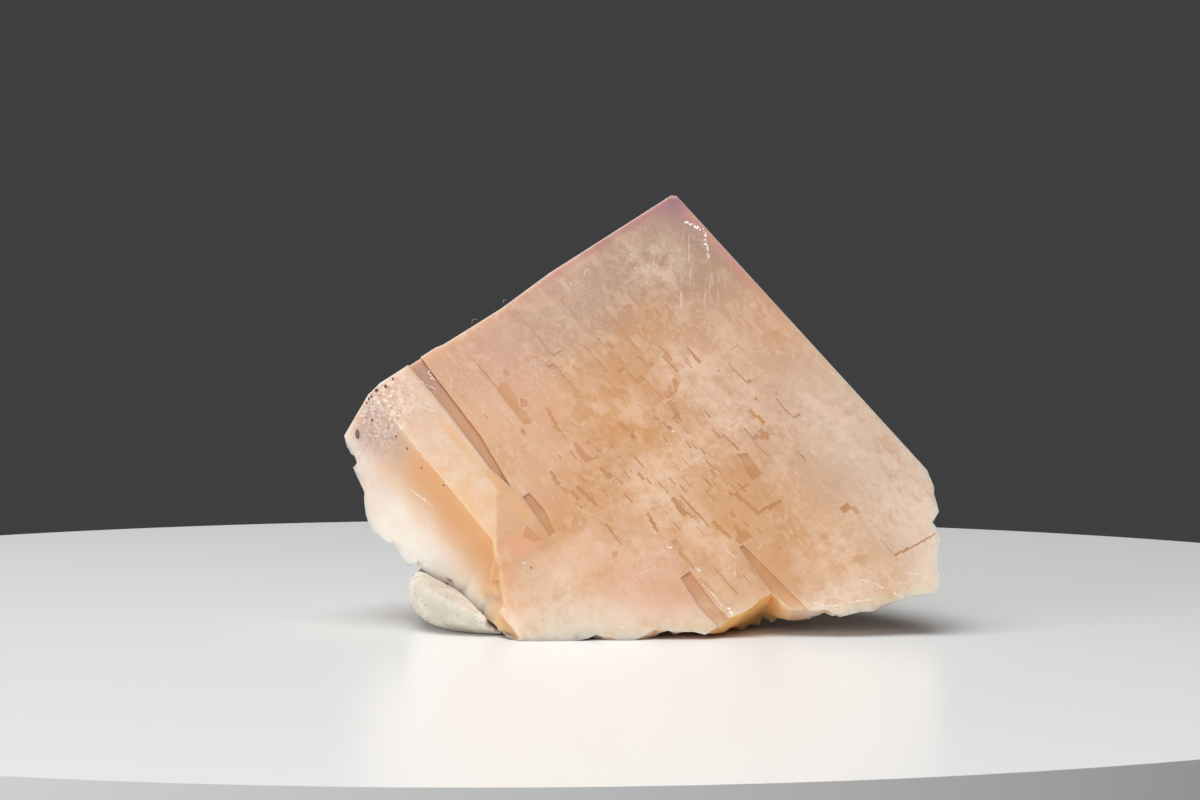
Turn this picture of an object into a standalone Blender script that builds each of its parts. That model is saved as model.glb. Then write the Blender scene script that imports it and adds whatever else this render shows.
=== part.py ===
"""Fluorite specimen: one broken cube corner, propped on a lump of mounting putty.

The crystal is one solid. It is laid out in the cube's own axes: a runs down the
upper left edge, b down the right edge and c out of the front cube face, all from
the cube corner. World axes are +X to the right, +Y away from the viewer and +Z up.
"""

import math

import bmesh
import bpy
from mathutils import Matrix, Vector, geometry, noise

MM = 0.001

# How the cube corner stands on the table.
FRONT_FACE_LEAN = math.radians(29.0)
FRONT_FACE_TURN = math.radians(4.1)
RIGHT_EDGE_ROLL = math.radians(36.1)
CORNER_AT = Vector((8.6, 27.9, 48.7)) * MM

# The crystal.
BODY_DEPTH = 24.0 * MM
LEFT_FACE_TILT = math.radians(60.0)
LEFT_EDGE = 43.5
LOWER_CLEAVAGE = 45.4
NOTCH_AT = 23.2
BREAK_SPACING = 1.4 * MM
BREAK_SWELL = 0.55 * MM
BREAK_CHIP = 0.22 * MM
RIM_CHIP = 0.42 * MM
FOOT_RADIUS = 3.2 * MM

# Where the left face meets the table, and how the underside rises behind it.
LEFT_FOOT = Vector((-9.3, 5.6, 0.5)) * MM
UNDERSIDE_RISE = (-0.363, 0.178)

# The putty.
PUTTY_AT = Vector((-9.6, 13.8, 0.0)) * MM
PUTTY_RADIUS = 12.0 * MM
PUTTY_BASE_RADIUS = 9.8 * MM
PUTTY_HEIGHT = 8.8 * MM
PUTTY_BULGE = 1.4 * MM
PUTTY_AROUND = 56
PUTTY_RINGS = 22
PUTTY_SUNK = 0.5 * MM
CONTACT_GAP = 0.32 * MM

# The hollow that the putty fills, below the crystal's middle.
HOLLOW_END = 4.5
HOLLOW_RISE = 0.15


def cube_axes():
    """The unit vectors of a, b and c in world axes."""
    lean, turn = FRONT_FACE_LEAN, FRONT_FACE_TURN
    outward = Vector(
        (math.sin(turn) * math.cos(lean), -math.cos(turn) * math.cos(lean), math.sin(lean))
    )
    downhill = (outward * outward.z - Vector((0, 0, 1))).normalized()
    rightward = outward.cross(downhill)
    down_right = downhill * math.cos(RIGHT_EDGE_ROLL) + rightward * math.sin(RIGHT_EDGE_ROLL)
    down_left = downhill * math.sin(RIGHT_EDGE_ROLL) - rightward * math.cos(RIGHT_EDGE_ROLL)
    return down_left, down_right, outward


A_AXIS, B_AXIS, C_AXIS = cube_axes()


def at_cube(a, b, c=0.0):
    """World position of cube coordinates given in millimetres."""
    return CORNER_AT + (A_AXIS * a + B_AXIS * b + C_AXIS * c) * MM


def at_table(x, y, z):
    """World position of table coordinates given in millimetres."""
    return Vector((x, y, z)) * MM


def material(name, color, roughness, **more):
    made = bpy.data.materials.new(name)
    made.use_nodes = True
    shader = made.node_tree.nodes["Principled BSDF"]
    shader.inputs["Base Color"].default_value = (*color, 1.0)
    shader.inputs["Roughness"].default_value = roughness
    for socket, value in more.items():
        shader.inputs[socket.replace("_", " ")].default_value = value
    return made


def object_of(name, bm, finish):
    mesh = bpy.data.meshes.new(name)
    bm.to_mesh(mesh)
    if finish is not None:
        mesh.materials.append(finish)
    obj = bpy.data.objects.new(name, mesh)
    bpy.context.scene.collection.objects.link(obj)
    return obj


# --- the crystal's faces -------------------------------------------------------


def front_outline():
    """The front cube face, clockwise from the cube corner, as (a, b) in millimetres.

    The left end runs on past the left edge, where the left face trims it.
    """
    blunted_corner = [(0.5, 0.0), (0.0, 0.45)]
    right_edge = [(0.0, 44.4)]
    right_end = [(0.6, 46.2), (2.4, 48.8), (3.7, 49.5), (3.8, 50.7), (6.2, 53.0), (7.4, 55.0)]
    lower_right = [(8.8, 55.9), (11.4, 54.6), (16.5, 53.2), (19.3, 51.9), (19.8, 50.4)]
    notch = [(22.7, 48.2), (NOTCH_AT, 47.3), (NOTCH_AT, LOWER_CLEAVAGE)]
    lower_edge = [(31.9, 45.0), (36.0, 41.3), (38.8, 40.7), (41.3, 37.9), (43.2, 37.3)]
    lower_left = [(46.1, 35.7), (47.9, 33.4), (46.9, 29.4), (44.9, 26.0), (LEFT_EDGE, 22.9)]
    left_edge = [(LEFT_EDGE, 15.4), (LEFT_EDGE, 8.6), (LEFT_EDGE, 3.9), (43.9, 0.6)]
    growth_step = [(42.0, 0.2), (34.5, 0.2), (33.5, 0.4), (25.6, 0.5), (18.3, 0.0)]
    return (
        blunted_corner
        + right_edge
        + right_end
        + lower_right
        + notch
        + lower_edge
        + lower_left
        + left_edge
        + growth_step
    )


def on_left_face(a, b):
    """Whether an outline point is on the edge that the left face starts from."""
    return a >= LEFT_EDGE and b < 34.0


def rough_block():
    """The front outline carried back through the crystal, before it is trimmed.

    Every side runs straight back, square to the front face, but the left face
    leans outward.
    """
    spread = BODY_DEPTH / MM / math.tan(LEFT_FACE_TILT)
    bm = bmesh.new()
    front, back = [], []
    for a, b in front_outline():
        front.append(bm.verts.new(at_cube(a, b)))
        shift = spread if on_left_face(a, b) else 0.0
        back.append(bm.verts.new(at_cube(a + shift, b, -BODY_DEPTH / MM)))
    bm.faces.new(front)
    bm.faces.new(reversed(back))
    count = len(front)
    for i in range(count):
        j = (i + 1) % count
        bm.faces.new((front[i], back[i], back[j], front[j]))
    bmesh.ops.recalc_face_normals(bm, faces=bm.faces)
    return bm


def cut_away(bm, point, outward):
    """Remove what lies on the outward side of a plane, and close the cut."""
    cut = bmesh.ops.bisect_plane(
        bm,
        geom=bm.verts[:] + bm.edges[:] + bm.faces[:],
        plane_co=point,
        plane_no=outward,
        clear_outer=True,
        dist=1e-7,
    )
    rim = [part for part in cut["geom_cut"] if isinstance(part, bmesh.types.BMEdge)]
    bmesh.ops.holes_fill(bm, edges=rim, sides=0)
    bmesh.ops.dissolve_degenerate(bm, edges=bm.edges, dist=2e-5)


def cut_through(bm, first, second, backward, inside):
    """Cut away along the plane through two rim points and a backward direction."""
    outward = (second - first).cross(backward).normalized()
    if outward.dot(inside - first) > 0:
        outward.negate()
    cut_away(bm, first, outward)


def trimmed_block():
    """The whole crystal as flat faces: three cube faces, breaks and cleavages."""
    bm = rough_block()
    middle = at_table(4.0, 18.0, 18.0)

    # The broken rim behind the left face, from its top to the table.
    top_left = at_table(-28.5, 17.0, 20.9)
    far_left = at_table(-25.6, 17.2, 10.7)
    low_left = at_table(-19.8, 13.5, 6.2)
    cut_through(bm, top_left, far_left, Vector((0.35, 0.93, -0.1)), middle)
    cut_through(bm, far_left, low_left, Vector((0.3, 0.95, 0.0)), middle)
    cut_through(bm, low_left, LEFT_FOOT, Vector((0.2, 0.97, 0.1)), middle)

    # The right end, and the underside that rises to the right.
    right_top = at_table(37.3, 11.6, 15.5)
    right_low = at_table(36.9, 5.4, 4.7)
    rise_start = at_table(16.7, 4.0, 0.0)
    cut_through(bm, right_top, right_low, Vector((-0.35, 0.93, 0.1)), middle)
    cut_through(bm, right_low, rise_start, Vector((0.0, 1.0, 0.05)), middle)

    # The back: a tilted break, and octahedral cleavages across its corners.
    cut_away(bm, at_cube(20, 20, -23.0), (A_AXIS * 0.10 + B_AXIS * -0.14 - C_AXIS).normalized())
    cut_away(bm, at_cube(0, 0, -17.5), -(A_AXIS + B_AXIS + C_AXIS).normalized())
    cut_away(bm, at_cube(0, 37.0, -20.5), (B_AXIS - A_AXIS - C_AXIS).normalized())
    cut_away(bm, at_cube(40.0, 0, -17.5), (A_AXIS - B_AXIS - C_AXIS).normalized())

    cut_away(bm, Vector((0, 0, 0)), Vector((0, 0, -1)))
    bmesh.ops.recalc_face_normals(bm, faces=bm.faces)
    return bm


def prism(bottom, top):
    """A closed solid between two rings of points."""
    bm = bmesh.new()
    low = [bm.verts.new(point) for point in bottom]
    high = [bm.verts.new(point) for point in top]
    bm.faces.new(reversed(low))
    bm.faces.new(high)
    for i in range(len(low)):
        j = (i + 1) % len(low)
        bm.faces.new((low[i], low[j], high[j], high[i]))
    bmesh.ops.recalc_face_normals(bm, faces=bm.faces)
    return bm


def putty_hollow():
    """The hollow under the crystal that the putty is squeezed into."""
    footprint = [(-8.0, 5.0), (-6.0, 2.6), (HOLLOW_END, 2.2), (HOLLOW_END, 25.0), (-6.0, 27.0)]
    low = [at_table(x, y, -3.0) for x, y in footprint]
    high = [at_table(x, y, HOLLOW_RISE * (HOLLOW_END - x) + 0.02) for x, y in footprint]
    return prism(low, high)


def take_from(bm, cutter):
    """The first solid less the second, as a new mesh with flat faces kept whole."""
    made = [object_of(name, part, None) for name, part in (("whole", bm), ("cutter", cutter))]
    boolean = made[0].modifiers.new("difference", "BOOLEAN")
    boolean.operation = "DIFFERENCE"
    boolean.solver = "EXACT"
    boolean.object = made[1]
    result = bmesh.new()
    result.from_object(made[0], bpy.context.evaluated_depsgraph_get())
    for obj in made:
        bpy.data.objects.remove(obj, do_unlink=True)
    return result


def cube_face_of(point, normal):
    """The normal of the cube face or left face that a flat face lies on, or None."""
    local = point - CORNER_AT
    left_face = A_AXIS * math.sin(LEFT_FACE_TILT) + C_AXIS * math.cos(LEFT_FACE_TILT)
    if normal.dot(C_AXIS) > 0.999 and abs(local.dot(C_AXIS)) < 0.1 * MM:
        return C_AXIS
    if normal.dot(-A_AXIS) > 0.999 and abs(local.dot(A_AXIS)) < 0.1 * MM:
        return A_AXIS
    if normal.dot(-B_AXIS) > 0.97 and abs(local.dot(B_AXIS)) < 1.0 * MM:
        return B_AXIS
    if normal.dot(left_face) > 0.9:
        return left_face
    return None


# --- broken surfaces -----------------------------------------------------------


def split_edges(bm, edges, spacing):
    """Divide each edge into equal lengths no longer than the spacing."""
    for edge in edges:
        cuts = math.ceil(edge.calc_length() / spacing) - 1
        if cuts > 0:
            bmesh.ops.subdivide_edges(bm, edges=[edge], cuts=cuts)


def drift(place):
    """A smooth sideways shift of up to about one at a place, the same in every run."""
    return Vector(
        (
            noise.noise(place + Vector((9.3, -1.5, -7.9))),
            noise.noise(place),
            noise.noise(place + Vector((6.3, 0.2, -2.7))),
        )
    )


def fill_with_points(bm, face, spacing, on_break):
    """Replace a flat face with even triangles, and note the points on a break."""
    verts = list(face.verts)
    normal = face.normal.copy()
    origin = face.calc_center_median()
    across = normal.orthogonal().normalized()
    up = normal.cross(across)
    flat = [Vector(((v.co - origin).dot(across), (v.co - origin).dot(up))) for v in verts]
    low = Vector((min(p.x for p in flat), min(p.y for p in flat)))
    high = Vector((max(p.x for p in flat), max(p.y for p in flat)))
    inner = []
    rows = int((high.y - low.y) / (spacing * 0.87)) + 1
    columns = int((high.x - low.x) / spacing) + 1
    for row in range(1, rows):
        for column in range(columns + 1):
            x = low.x + (column + 0.5 * (row % 2)) * spacing
            spot = Vector((x, low.y + row * spacing * 0.87))
            spot += drift((spot * 900).to_3d()).to_2d() * spacing * 0.3
            if deep_inside(spot, flat, spacing * 0.55):
                inner.append(spot)
    ring = list(range(len(flat)))
    points, _, triangles, sources, _, _ = geometry.delaunay_2d_cdt(flat + inner, [], [ring], 1, 1e-9)
    made = []
    for point, source in zip(points, sources):
        if source and source[0] < len(verts):
            made.append(verts[source[0]])
        else:
            made.append(bm.verts.new(origin + across * point.x + up * point.y))
    bm.faces.remove(face)
    for triangle in triangles:
        corners = [made[i] for i in triangle]
        if (corners[1].co - corners[0].co).cross(corners[2].co - corners[0].co).dot(normal) < 0:
            corners.reverse()
        bm.faces.new(corners)
    on_break.update(dict.fromkeys(made))


def deep_inside(spot, ring, margin):
    """Whether a point is inside a ring of points and at least the margin from it."""
    inside = False
    for i, start in enumerate(ring):
        end = ring[i - 1]
        if (start.y > spot.y) != (end.y > spot.y):
            if spot.x < (end.x - start.x) * (spot.y - start.y) / (end.y - start.y) + start.x:
                inside = not inside
        span = end - start
        share = max(0.0, min(1.0, (spot - start).dot(span) / span.length_squared))
        if (start + span * share - spot).length < margin:
            return False
    return inside


def feet():
    """Where the crystal bears on the table."""
    return [at_table(-6.0, 0.4, 0), at_table(3.0, 1.0, 0), at_table(16.0, 12.5, 0), at_table(6.5, 26.0, 0)]


def roughen(bm, kept_planes, on_break):
    """Give breaks their swell and chips, while the cube faces stay flat.

    A point shared with a flat face slides in that face, so it chips the edge
    outline and leaves the face flat.
    """
    moves = {}
    for vert in on_break:
        planes = kept_planes.get(vert, [])
        swell = drift(vert.co * 130.0) * BREAK_SWELL
        chip = drift(vert.co * 620.0) * BREAK_CHIP
        move = swell + chip
        if planes:
            move = drift(vert.co * 480.0) * RIM_CHIP
            for normal in planes:
                move -= normal * move.dot(normal)
            if len(planes) > 1:
                move *= 0.0
        if vert.co.z < 0.05 * MM:
            bearing = min((vert.co - foot).length for foot in feet())
            lift = min(1.0, max(0.0, bearing - FOOT_RADIUS) / (2.5 * MM))
            move = Vector((move.x * lift, move.y * lift, 0.9 * MM * lift * (0.4 + abs(move.z) / BREAK_SWELL)))
        moves[vert] = move
    for vert, move in moves.items():
        vert.co += move
        vert.co.z = max(vert.co.z, 0.0)


def crystal_body():
    """The crystal with flat cube faces and roughened breaks."""
    bm = take_from(trimmed_block(), putty_hollow())
    flat_faces = {face: cube_face_of(face.calc_center_median(), face.normal) for face in bm.faces}
    breaks = [face for face, axis in flat_faces.items() if axis is None]
    rims = dict.fromkeys(edge for face in breaks for edge in face.edges)
    split_edges(bm, list(rims), BREAK_SPACING)
    kept_planes = {}
    for face, axis in flat_faces.items():
        if axis is not None:
            for vert in face.verts:
                kept_planes.setdefault(vert, []).append(face.normal.copy())
    on_break = {}
    for face in breaks:
        fill_with_points(bm, face, BREAK_SPACING, on_break)
    roughen(bm, kept_planes, on_break)
    bmesh.ops.recalc_face_normals(bm, faces=bm.faces)
    return bm


# --- growth steps --------------------------------------------------------------


def layer_cutter(name, outline, face, depth):
    """A slab that takes one growth layer off a cube face, as a Boolean cutter.

    The outline is in millimetres on the face; the depth is how much it takes off.
    """
    top, bottom = [], []
    bm = bmesh.new()
    for first, second in outline:
        high = {"front": (first, second, 1.0), "right": (-1.0, first, second), "left": (first, -1.0, second)}
        low = {
            "front": (first, second, -depth),
            "right": (depth, first, second),
            "left": (first, depth, second),
        }
        top.append(bm.verts.new(at_cube(*high[face])))
        bottom.append(bm.verts.new(at_cube(*low[face])))
    bm.faces.new(top)
    bm.faces.new(bottom)
    for i in range(len(top)):
        j = (i + 1) % len(top)
        bm.faces.new((top[i], bottom[i], bottom[j], top[j]))
    bmesh.ops.recalc_face_normals(bm, faces=bm.faces)
    mesh = bpy.data.meshes.new(name)
    bm.to_mesh(mesh)
    bm.free()
    cutter = bpy.data.objects.new(name, mesh)
    cutter.hide_render = True
    cutter.display_type = "WIRE"
    bpy.context.scene.collection.objects.link(cutter)
    return cutter


def take_off(obj, cutter):
    boolean = obj.modifiers.new(cutter.name, "BOOLEAN")
    boolean.operation = "DIFFERENCE"
    boolean.solver = "EXACT"
    boolean.object = cutter


def growth_layers():
    """The layers missing from the cube faces: name, face, depth and outline in mm."""
    return [
        ("groove_layer", "front", 0.35, [(36.4, -2), (38.2, -2), (38.2, 7), (38.6, 16), (38.1, 19), (37.0, 12)]),
        ("long_step_layer", "front", 0.2, [(37.8, 20.6), (38.3, 26.1), (37.5, 26.1), (36.8, 23.2), (36.9, 20.6)]),
        ("lower_layer", "front", 0.2, [(28.7, 38.2), (30.0, 38.2), (30.6, 42), (30, 50), (28, 50), (29, 43)]),
        ("notch_layer", "front", 0.15, [(22.1, 39.2), (22.7, 39.2), (23.3, 45.3), (22.3, 50), (21.3, 50)]),
        ("upper_layer", "front", 0.12, [(25, 9.5), (25.8, 9.5), (25.8, 15.0), (25, 15.0)]),
        ("right_layer", "right", 0.4, [(27, -7), (52, -7), (52, -30), (33, -30), (33, -13), (27, -13)]),
        ("right_upper_layer", "right", 0.25, [(8, -14), (20, -14), (20, -30), (8, -30)]),
        ("left_layer", "left", 0.9, [(24, -9), (52, -9), (52, -30), (17, -30), (17, -16), (24, -16)]),
    ]


# --- the putty -----------------------------------------------------------------


def press_height(x, y):
    """The height of the sloping surface that the lump was pressed to."""
    rise = UNDERSIDE_RISE[0] * (x - LEFT_FOOT.x) + UNDERSIDE_RISE[1] * (y - LEFT_FOOT.y)
    return LEFT_FOOT.z + rise + PUTTY_BULGE


def putty_point(share, turn):
    """A point of the lump from the rim of its base, 0, to the top, 1, at a turn about it."""
    angle = math.pi * (share - 0.5)
    around = Vector((math.cos(turn), math.sin(turn), 0))
    wobble = 1 + 0.07 * noise.noise(around * 1.3 + Vector((4, 0, share * 1.5)))
    radius = math.cos(angle) ** 0.62 * PUTTY_RADIUS * wobble
    height = PUTTY_HEIGHT * (0.5 + 0.5 * math.sin(angle))
    flat = PUTTY_AT + around * radius
    top = PUTTY_HEIGHT * (0.5 + 0.5 * math.sin(abs(angle)))
    room = max(0.4 * MM, press_height(flat.x, flat.y))
    squeeze = min(1.0, room / top)
    base = math.cos(angle) ** 0.62 * PUTTY_BASE_RADIUS * wobble
    spot = PUTTY_AT + around * (base + (radius - base) * squeeze)
    spot.z = max(0.0, height * squeeze - PUTTY_SUNK * min(1.0, squeeze * 2))
    return spot


def putty_lump():
    """The lump before the crystal shapes its top: soft at the sides and flat below."""
    bm = bmesh.new()
    rings = []
    for ring in range(1, PUTTY_RINGS):
        turns = [math.tau * step / PUTTY_AROUND for step in range(PUTTY_AROUND)]
        rings.append([bm.verts.new(putty_point(ring / PUTTY_RINGS, turn)) for turn in turns])
    for low, high in zip(rings, rings[1:]):
        for i in range(PUTTY_AROUND):
            j = (i + 1) % PUTTY_AROUND
            bm.faces.new((low[i], low[j], high[j], high[i]))
    bm.faces.new(reversed(rings[0]))
    bm.faces.new(rings[-1])
    bmesh.ops.recalc_face_normals(bm, faces=bm.faces)
    return bm


def swollen(bm, by):
    """A copy of a solid with each face moved outward by a small distance."""
    copy = bm.copy()
    copy.normal_update()
    moves = {vert: vert.normal * by * min(2.0, vert.calc_shell_factor()) for vert in copy.verts}
    for vert, move in moves.items():
        vert.co += move
    return copy


def keep_largest(bm):
    """Remove any crumb that the cut left beside the main solid."""
    groups = []
    waiting = dict.fromkeys(bm.verts)
    while waiting:
        group = [next(iter(waiting))]
        del waiting[group[0]]
        for vert in group:
            for edge in vert.link_edges:
                other = edge.other_vert(vert)
                if other in waiting:
                    del waiting[other]
                    group.append(other)
        groups.append(group)
    groups.sort(key=len)
    crumbs = [vert for group in groups[:-1] for vert in group]
    bmesh.ops.delete(bm, geom=crumbs, context="VERTS")


def putty_body(crystal):
    """The lump pressed up under the crystal: moulded to it, a hair's gap away."""
    bm = take_from(putty_lump(), swollen(crystal, CONTACT_GAP))
    keep_largest(bm)
    return bm


# --- assembly ------------------------------------------------------------------


def clear_scene():
    for obj in list(bpy.data.objects):
        bpy.data.objects.remove(obj, do_unlink=True)


def centre_on_origin(objects):
    """Move everything so that the bottom centre of the two pieces is the origin."""
    corners = [vert.co for obj in objects if not obj.hide_render for vert in obj.data.vertices]
    low = Vector((min(c[i] for c in corners) for i in range(3)))
    high = Vector((max(c[i] for c in corners) for i in range(3)))
    shift = Vector((-(low.x + high.x) / 2, -(low.y + high.y) / 2, -low.z))
    for obj in objects:
        obj.data.transform(Matrix.Translation(shift))


def main():
    clear_scene()
    fluorite = material("fluorite", (0.74, 0.50, 0.36), 0.3, IOR=1.434, Transmission_Weight=0.5)
    putty = material("mounting_putty", (0.76, 0.72, 0.66), 0.75)
    crystal_mesh = crystal_body()
    putty_mesh = putty_body(crystal_mesh)
    crystal = object_of("crystal", crystal_mesh, fluorite)
    blob = object_of("putty_blob", putty_mesh, putty)
    cutters = []
    for name, face, depth, outline in growth_layers():
        cutter = layer_cutter(name, outline, face, depth)
        take_off(crystal, cutter)
        cutters.append(cutter)
    centre_on_origin([crystal, blob] + cutters)


main()
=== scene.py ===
"""Fluorite specimen, its finished look: a broken cube corner of peach fluorite,
propped on a lump of mounting putty.

Places on the stone are given in the cube's own axes, in millimetres from the cube
corner: a runs down the upper left edge, b down the right edge and c out of the
front cube face, so that the stone lies at c below 0.
"""

import math
import random

import bmesh
import bpy
from mathutils import Euler, Matrix, Vector, bvhtree, geometry, noise

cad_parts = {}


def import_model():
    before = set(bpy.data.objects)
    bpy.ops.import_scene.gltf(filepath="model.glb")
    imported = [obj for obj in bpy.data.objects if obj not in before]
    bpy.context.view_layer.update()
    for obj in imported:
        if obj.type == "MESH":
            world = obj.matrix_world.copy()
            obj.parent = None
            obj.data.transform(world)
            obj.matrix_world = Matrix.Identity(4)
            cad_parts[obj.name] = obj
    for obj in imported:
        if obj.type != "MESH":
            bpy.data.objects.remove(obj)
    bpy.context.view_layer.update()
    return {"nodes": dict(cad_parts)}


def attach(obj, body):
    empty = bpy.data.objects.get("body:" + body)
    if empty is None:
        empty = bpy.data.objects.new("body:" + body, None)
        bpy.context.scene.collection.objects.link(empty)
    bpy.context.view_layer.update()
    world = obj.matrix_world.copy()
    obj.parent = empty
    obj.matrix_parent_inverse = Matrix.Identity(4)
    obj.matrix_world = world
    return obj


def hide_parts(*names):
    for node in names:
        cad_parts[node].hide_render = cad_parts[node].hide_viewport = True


MM = 0.001
SEED = 7

# How the cube corner stands: the angles that the CAD crystal was built with.
FRONT_FACE_LEAN = math.radians(29.0)
FRONT_FACE_TURN = math.radians(4.1)
RIGHT_EDGE_ROLL = math.radians(36.1)
LEFT_FACE_TILT = math.radians(60.0)

# The camera, and the round turntable that the stone stands on.
CAMERA_AT = Vector((-4.2, -274.2, 30.7)) * MM
CAMERA_DOWN = math.radians(1.23)
CAMERA_LENS = 72.0
FLOOR_MIDDLE = Vector((-13.0, 24.0, 0.0)) * MM
FLOOR_RADIUS = 131.0 * MM
FLOOR_THICK = 9.0 * MM

# The lights: name, place, what each points at, width and height in metres, and watts.
SOFTBOXES = (
    ("overhead_softbox", (-0.12, -0.10, 0.64), (0.0, 0.0, 0.0), (0.7, 0.5), 5.2),
    ("front_softbox", (-0.28, -0.80, 0.28), (0.0, 0.0, 0.02), (0.8, 0.4), 2.25),
    ("left_softbox", (-0.65, -0.40, 0.18), (0.0, 0.0, 0.02), (0.5, 0.4), 2.25),
)
STUDIO_GREY = (0.05, 0.05, 0.052, 1.0)
FLOOR_TONE = (239, 240, 239)

# How finely the surfaces are divided and how far they are roughened.
WELD = 0.002 * MM
LEVEL_STEP = 0.01 * MM
LEFT_FACE_SPACING = 0.9 * MM
BREAK_CUTS = 2
GRAIN_RELIEF = 0.16 * MM
RIM_RELIEF = 0.22 * MM
LEFT_RIM_RELIEF = 1.8 * MM
LEFT_FACE_SWELL = 0.35 * MM
# Waves to a metre of the breaks' grain, of their fine grain, and of the chipped rims.
GRAIN_WAVES = 900
FINE_WAVES = 2100
RIM_WAVES = 1100
LEFT_RIM_WAVES = 560
FLOOR_CLEARANCE = 0.05 * MM
STRUCK_CHIPS = 240
CHIP_DEPTHS = (0.1, 0.5)
CHIP_RADII = (1.0, 3.0)
TERRACE_SPACING = 2.6 * MM
TERRACE_DROP = 0.8 * MM
PIT_DEPTHS = (0.02, 0.03, 0.04)
PIT_MARGIN = 0.05
RIM_TEST_STEP = 0.2
LEFT_STRIP_FROM = 43.2
SHARP_ANGLE = math.radians(24)
FLAT_ANGLE = math.radians(0.4)
WIDE_FACE = 20 * MM * MM
WINDOW_LEVEL = (-0.45, -0.14)
WINDOW_REACH = (15.0, 39.0)
SMALL_STEPS = 84
# Where the small steps lie, along a and along b: middle, spread, least and most.
SMALL_STEP_ZONE = ((23.0, 5.5, 10.0, 36.0), (27.0, 8.5, 8.0, 44.0))
SMALL_STEP_LENGTHS = (0.3, 1.6)
SMALL_STEP_WIDTHS = (0.025, 0.10)
SMALL_STEP_DRIFT = 0.1
# How often a small step turns a corner, and how long it runs on from there.
TURN_CHANCE = 0.35
TURN_LENGTHS = (0.2, 0.7)
STEP_BLOCK = 0.9

# The putty: its mesh, its dents and pimples, how high its flat foot reaches, the strength
# and rounds of its smoothing, and how it scatters light.
PUTTY_SPACING = 0.32 * MM
PUTTY_DENT = 0.25 * MM
PUTTY_PIMPLE = 0.05 * MM
PUTTY_FOOT = 1.0 * MM
PUTTY_SOFTENING = (0.5, 6)
PUTTY_CLOUDINESS = 0.15
PUTTY_SCATTER = (1.0, 0.8, 0.6)
PUTTY_SCATTER_REACH = 1.0 * MM

# Loose bits on the surface.
# How far the white splinters rise, in bruises and in painted glints.
BRUISE_AND_GLINT_RISE = 0.035 * MM
# Painted glints: tiny white flakes, scattered over the stepped face.
GLITTER = {"Density": 8e5, "Smallest": 0.02 * MM, "Largest": 0.075 * MM, "Seed": SEED}
GRIT = {"Density": 4.5e5, "Smallest": 0.04 * MM, "Largest": 0.13 * MM, "Seed": SEED + 1}
PATCH_CORNERS = 12
PATCH_LIFT = 0.05
FIBRE_RADIUS = 0.022 * MM
FIBRE_STEPS = 8

# Finishes: how much the stone and its dark grains bend light, how cloudy and how clear the
# stone is, how far each colour scatters in it, and the depth of each surface grain.
FLUORITE_IOR = 1.434
MINERAL_IOR = 1.6
PLAIN_IOR = 1.45
CLOUDINESS = 0.8
CLEARNESS = 0.1
SCATTER_COLOURS = (1.0, 0.7, 0.5)
SCATTER_REACH = 4.0 * MM
STONE_GRAIN = 0.05 * MM
PUTTY_GRAIN = 0.2 * MM
STREAK_TURN = math.radians(38.0)

# Finishes of the small pieces: name, dark tone, light tone, roughness and how much they
# bend light.
SMALL_FINISHES = (
    # White of the bruises and of the painted glints.
    ("crushed_white_and_glints", (240, 228, 220), (252, 248, 244), 0.35, FLUORITE_IOR),
    ("dark_mineral", (72, 50, 58), (112, 84, 86), 0.3, MINERAL_IOR),
    ("putty_dust", (142, 130, 114), (196, 184, 166), 0.9, PLAIN_IOR),
    ("pale_fibre", (196, 180, 170), (214, 200, 190), 0.6, PLAIN_IOR),
)

# Kinds of surface, in the order of the working materials.
FRONT, RIGHT, LEFT, LOWER_LEFT, BREAK, WINDOW = range(6)

# How the kind of a CAD face is told: how well its normal fits, and how far below the
# cube faces their treads and risers lie, in millimetres.
PARALLEL = 0.999
NEARLY_PARALLEL = 0.97
FRONT_TREADS, RIGHT_TREADS, LEFT_TREADS = 1.0, 1.0, 1.3
FRONT_RISERS, RIGHT_RISERS, LEFT_RISERS = 0.45, 0.45, 0.95
RIGHT_RISERS_END = -20


# --- the stone's own axes ------------------------------------------------------


def cube_axes():
    """The unit vectors of a, b and c in world axes."""
    lean, turn = FRONT_FACE_LEAN, FRONT_FACE_TURN
    outward = Vector(
        (math.sin(turn) * math.cos(lean), -math.cos(turn) * math.cos(lean), math.sin(lean))
    )
    downhill = (outward * outward.z - Vector((0, 0, 1))).normalized()
    rightward = outward.cross(downhill)
    roll = RIGHT_EDGE_ROLL
    down_right = downhill * math.cos(roll) + rightward * math.sin(roll)
    down_left = downhill * math.sin(roll) - rightward * math.cos(roll)
    return down_left, down_right, outward


def face_level(bm, outward):
    """How far out the largest flat face that looks this way lies."""
    areas = {}
    for face in bm.faces:
        if face.normal.dot(outward) > 0.9999:
            level = round(face.calc_center_median().dot(outward) / LEVEL_STEP)
            areas[level] = areas.get(level, 0.0) + face.calc_area()
    return max(areas, key=areas.get) * LEVEL_STEP


def cube_corner(bm):
    """Where the three cube faces meet."""
    bm.normal_update()
    upper_left, upper_right = face_level(bm, -B_AXIS), face_level(bm, -A_AXIS)
    return C_AXIS * face_level(bm, C_AXIS) - A_AXIS * upper_right - B_AXIS * upper_left


def solid_of(node):
    """The CAD node's closed mesh."""
    bm = bmesh.new()
    bm.from_mesh(frame["nodes"][node].data)
    bmesh.ops.remove_doubles(bm, verts=bm.verts, dist=WELD)
    return bm


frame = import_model()
A_AXIS, B_AXIS, C_AXIS = cube_axes()
crystal_solid = solid_of("crystal")
CORNER = cube_corner(crystal_solid)
TO_CUBE = Matrix((A_AXIS, B_AXIS, C_AXIS))
LEFT_FACE_OUTWARD = A_AXIS * math.sin(LEFT_FACE_TILT) + C_AXIS * math.cos(LEFT_FACE_TILT)


def at_cube(a, b, c=0.0):
    """World position of a place given in millimetres in the cube's axes."""
    return CORNER + (A_AXIS * a + B_AXIS * b + C_AXIS * c) * MM


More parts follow.
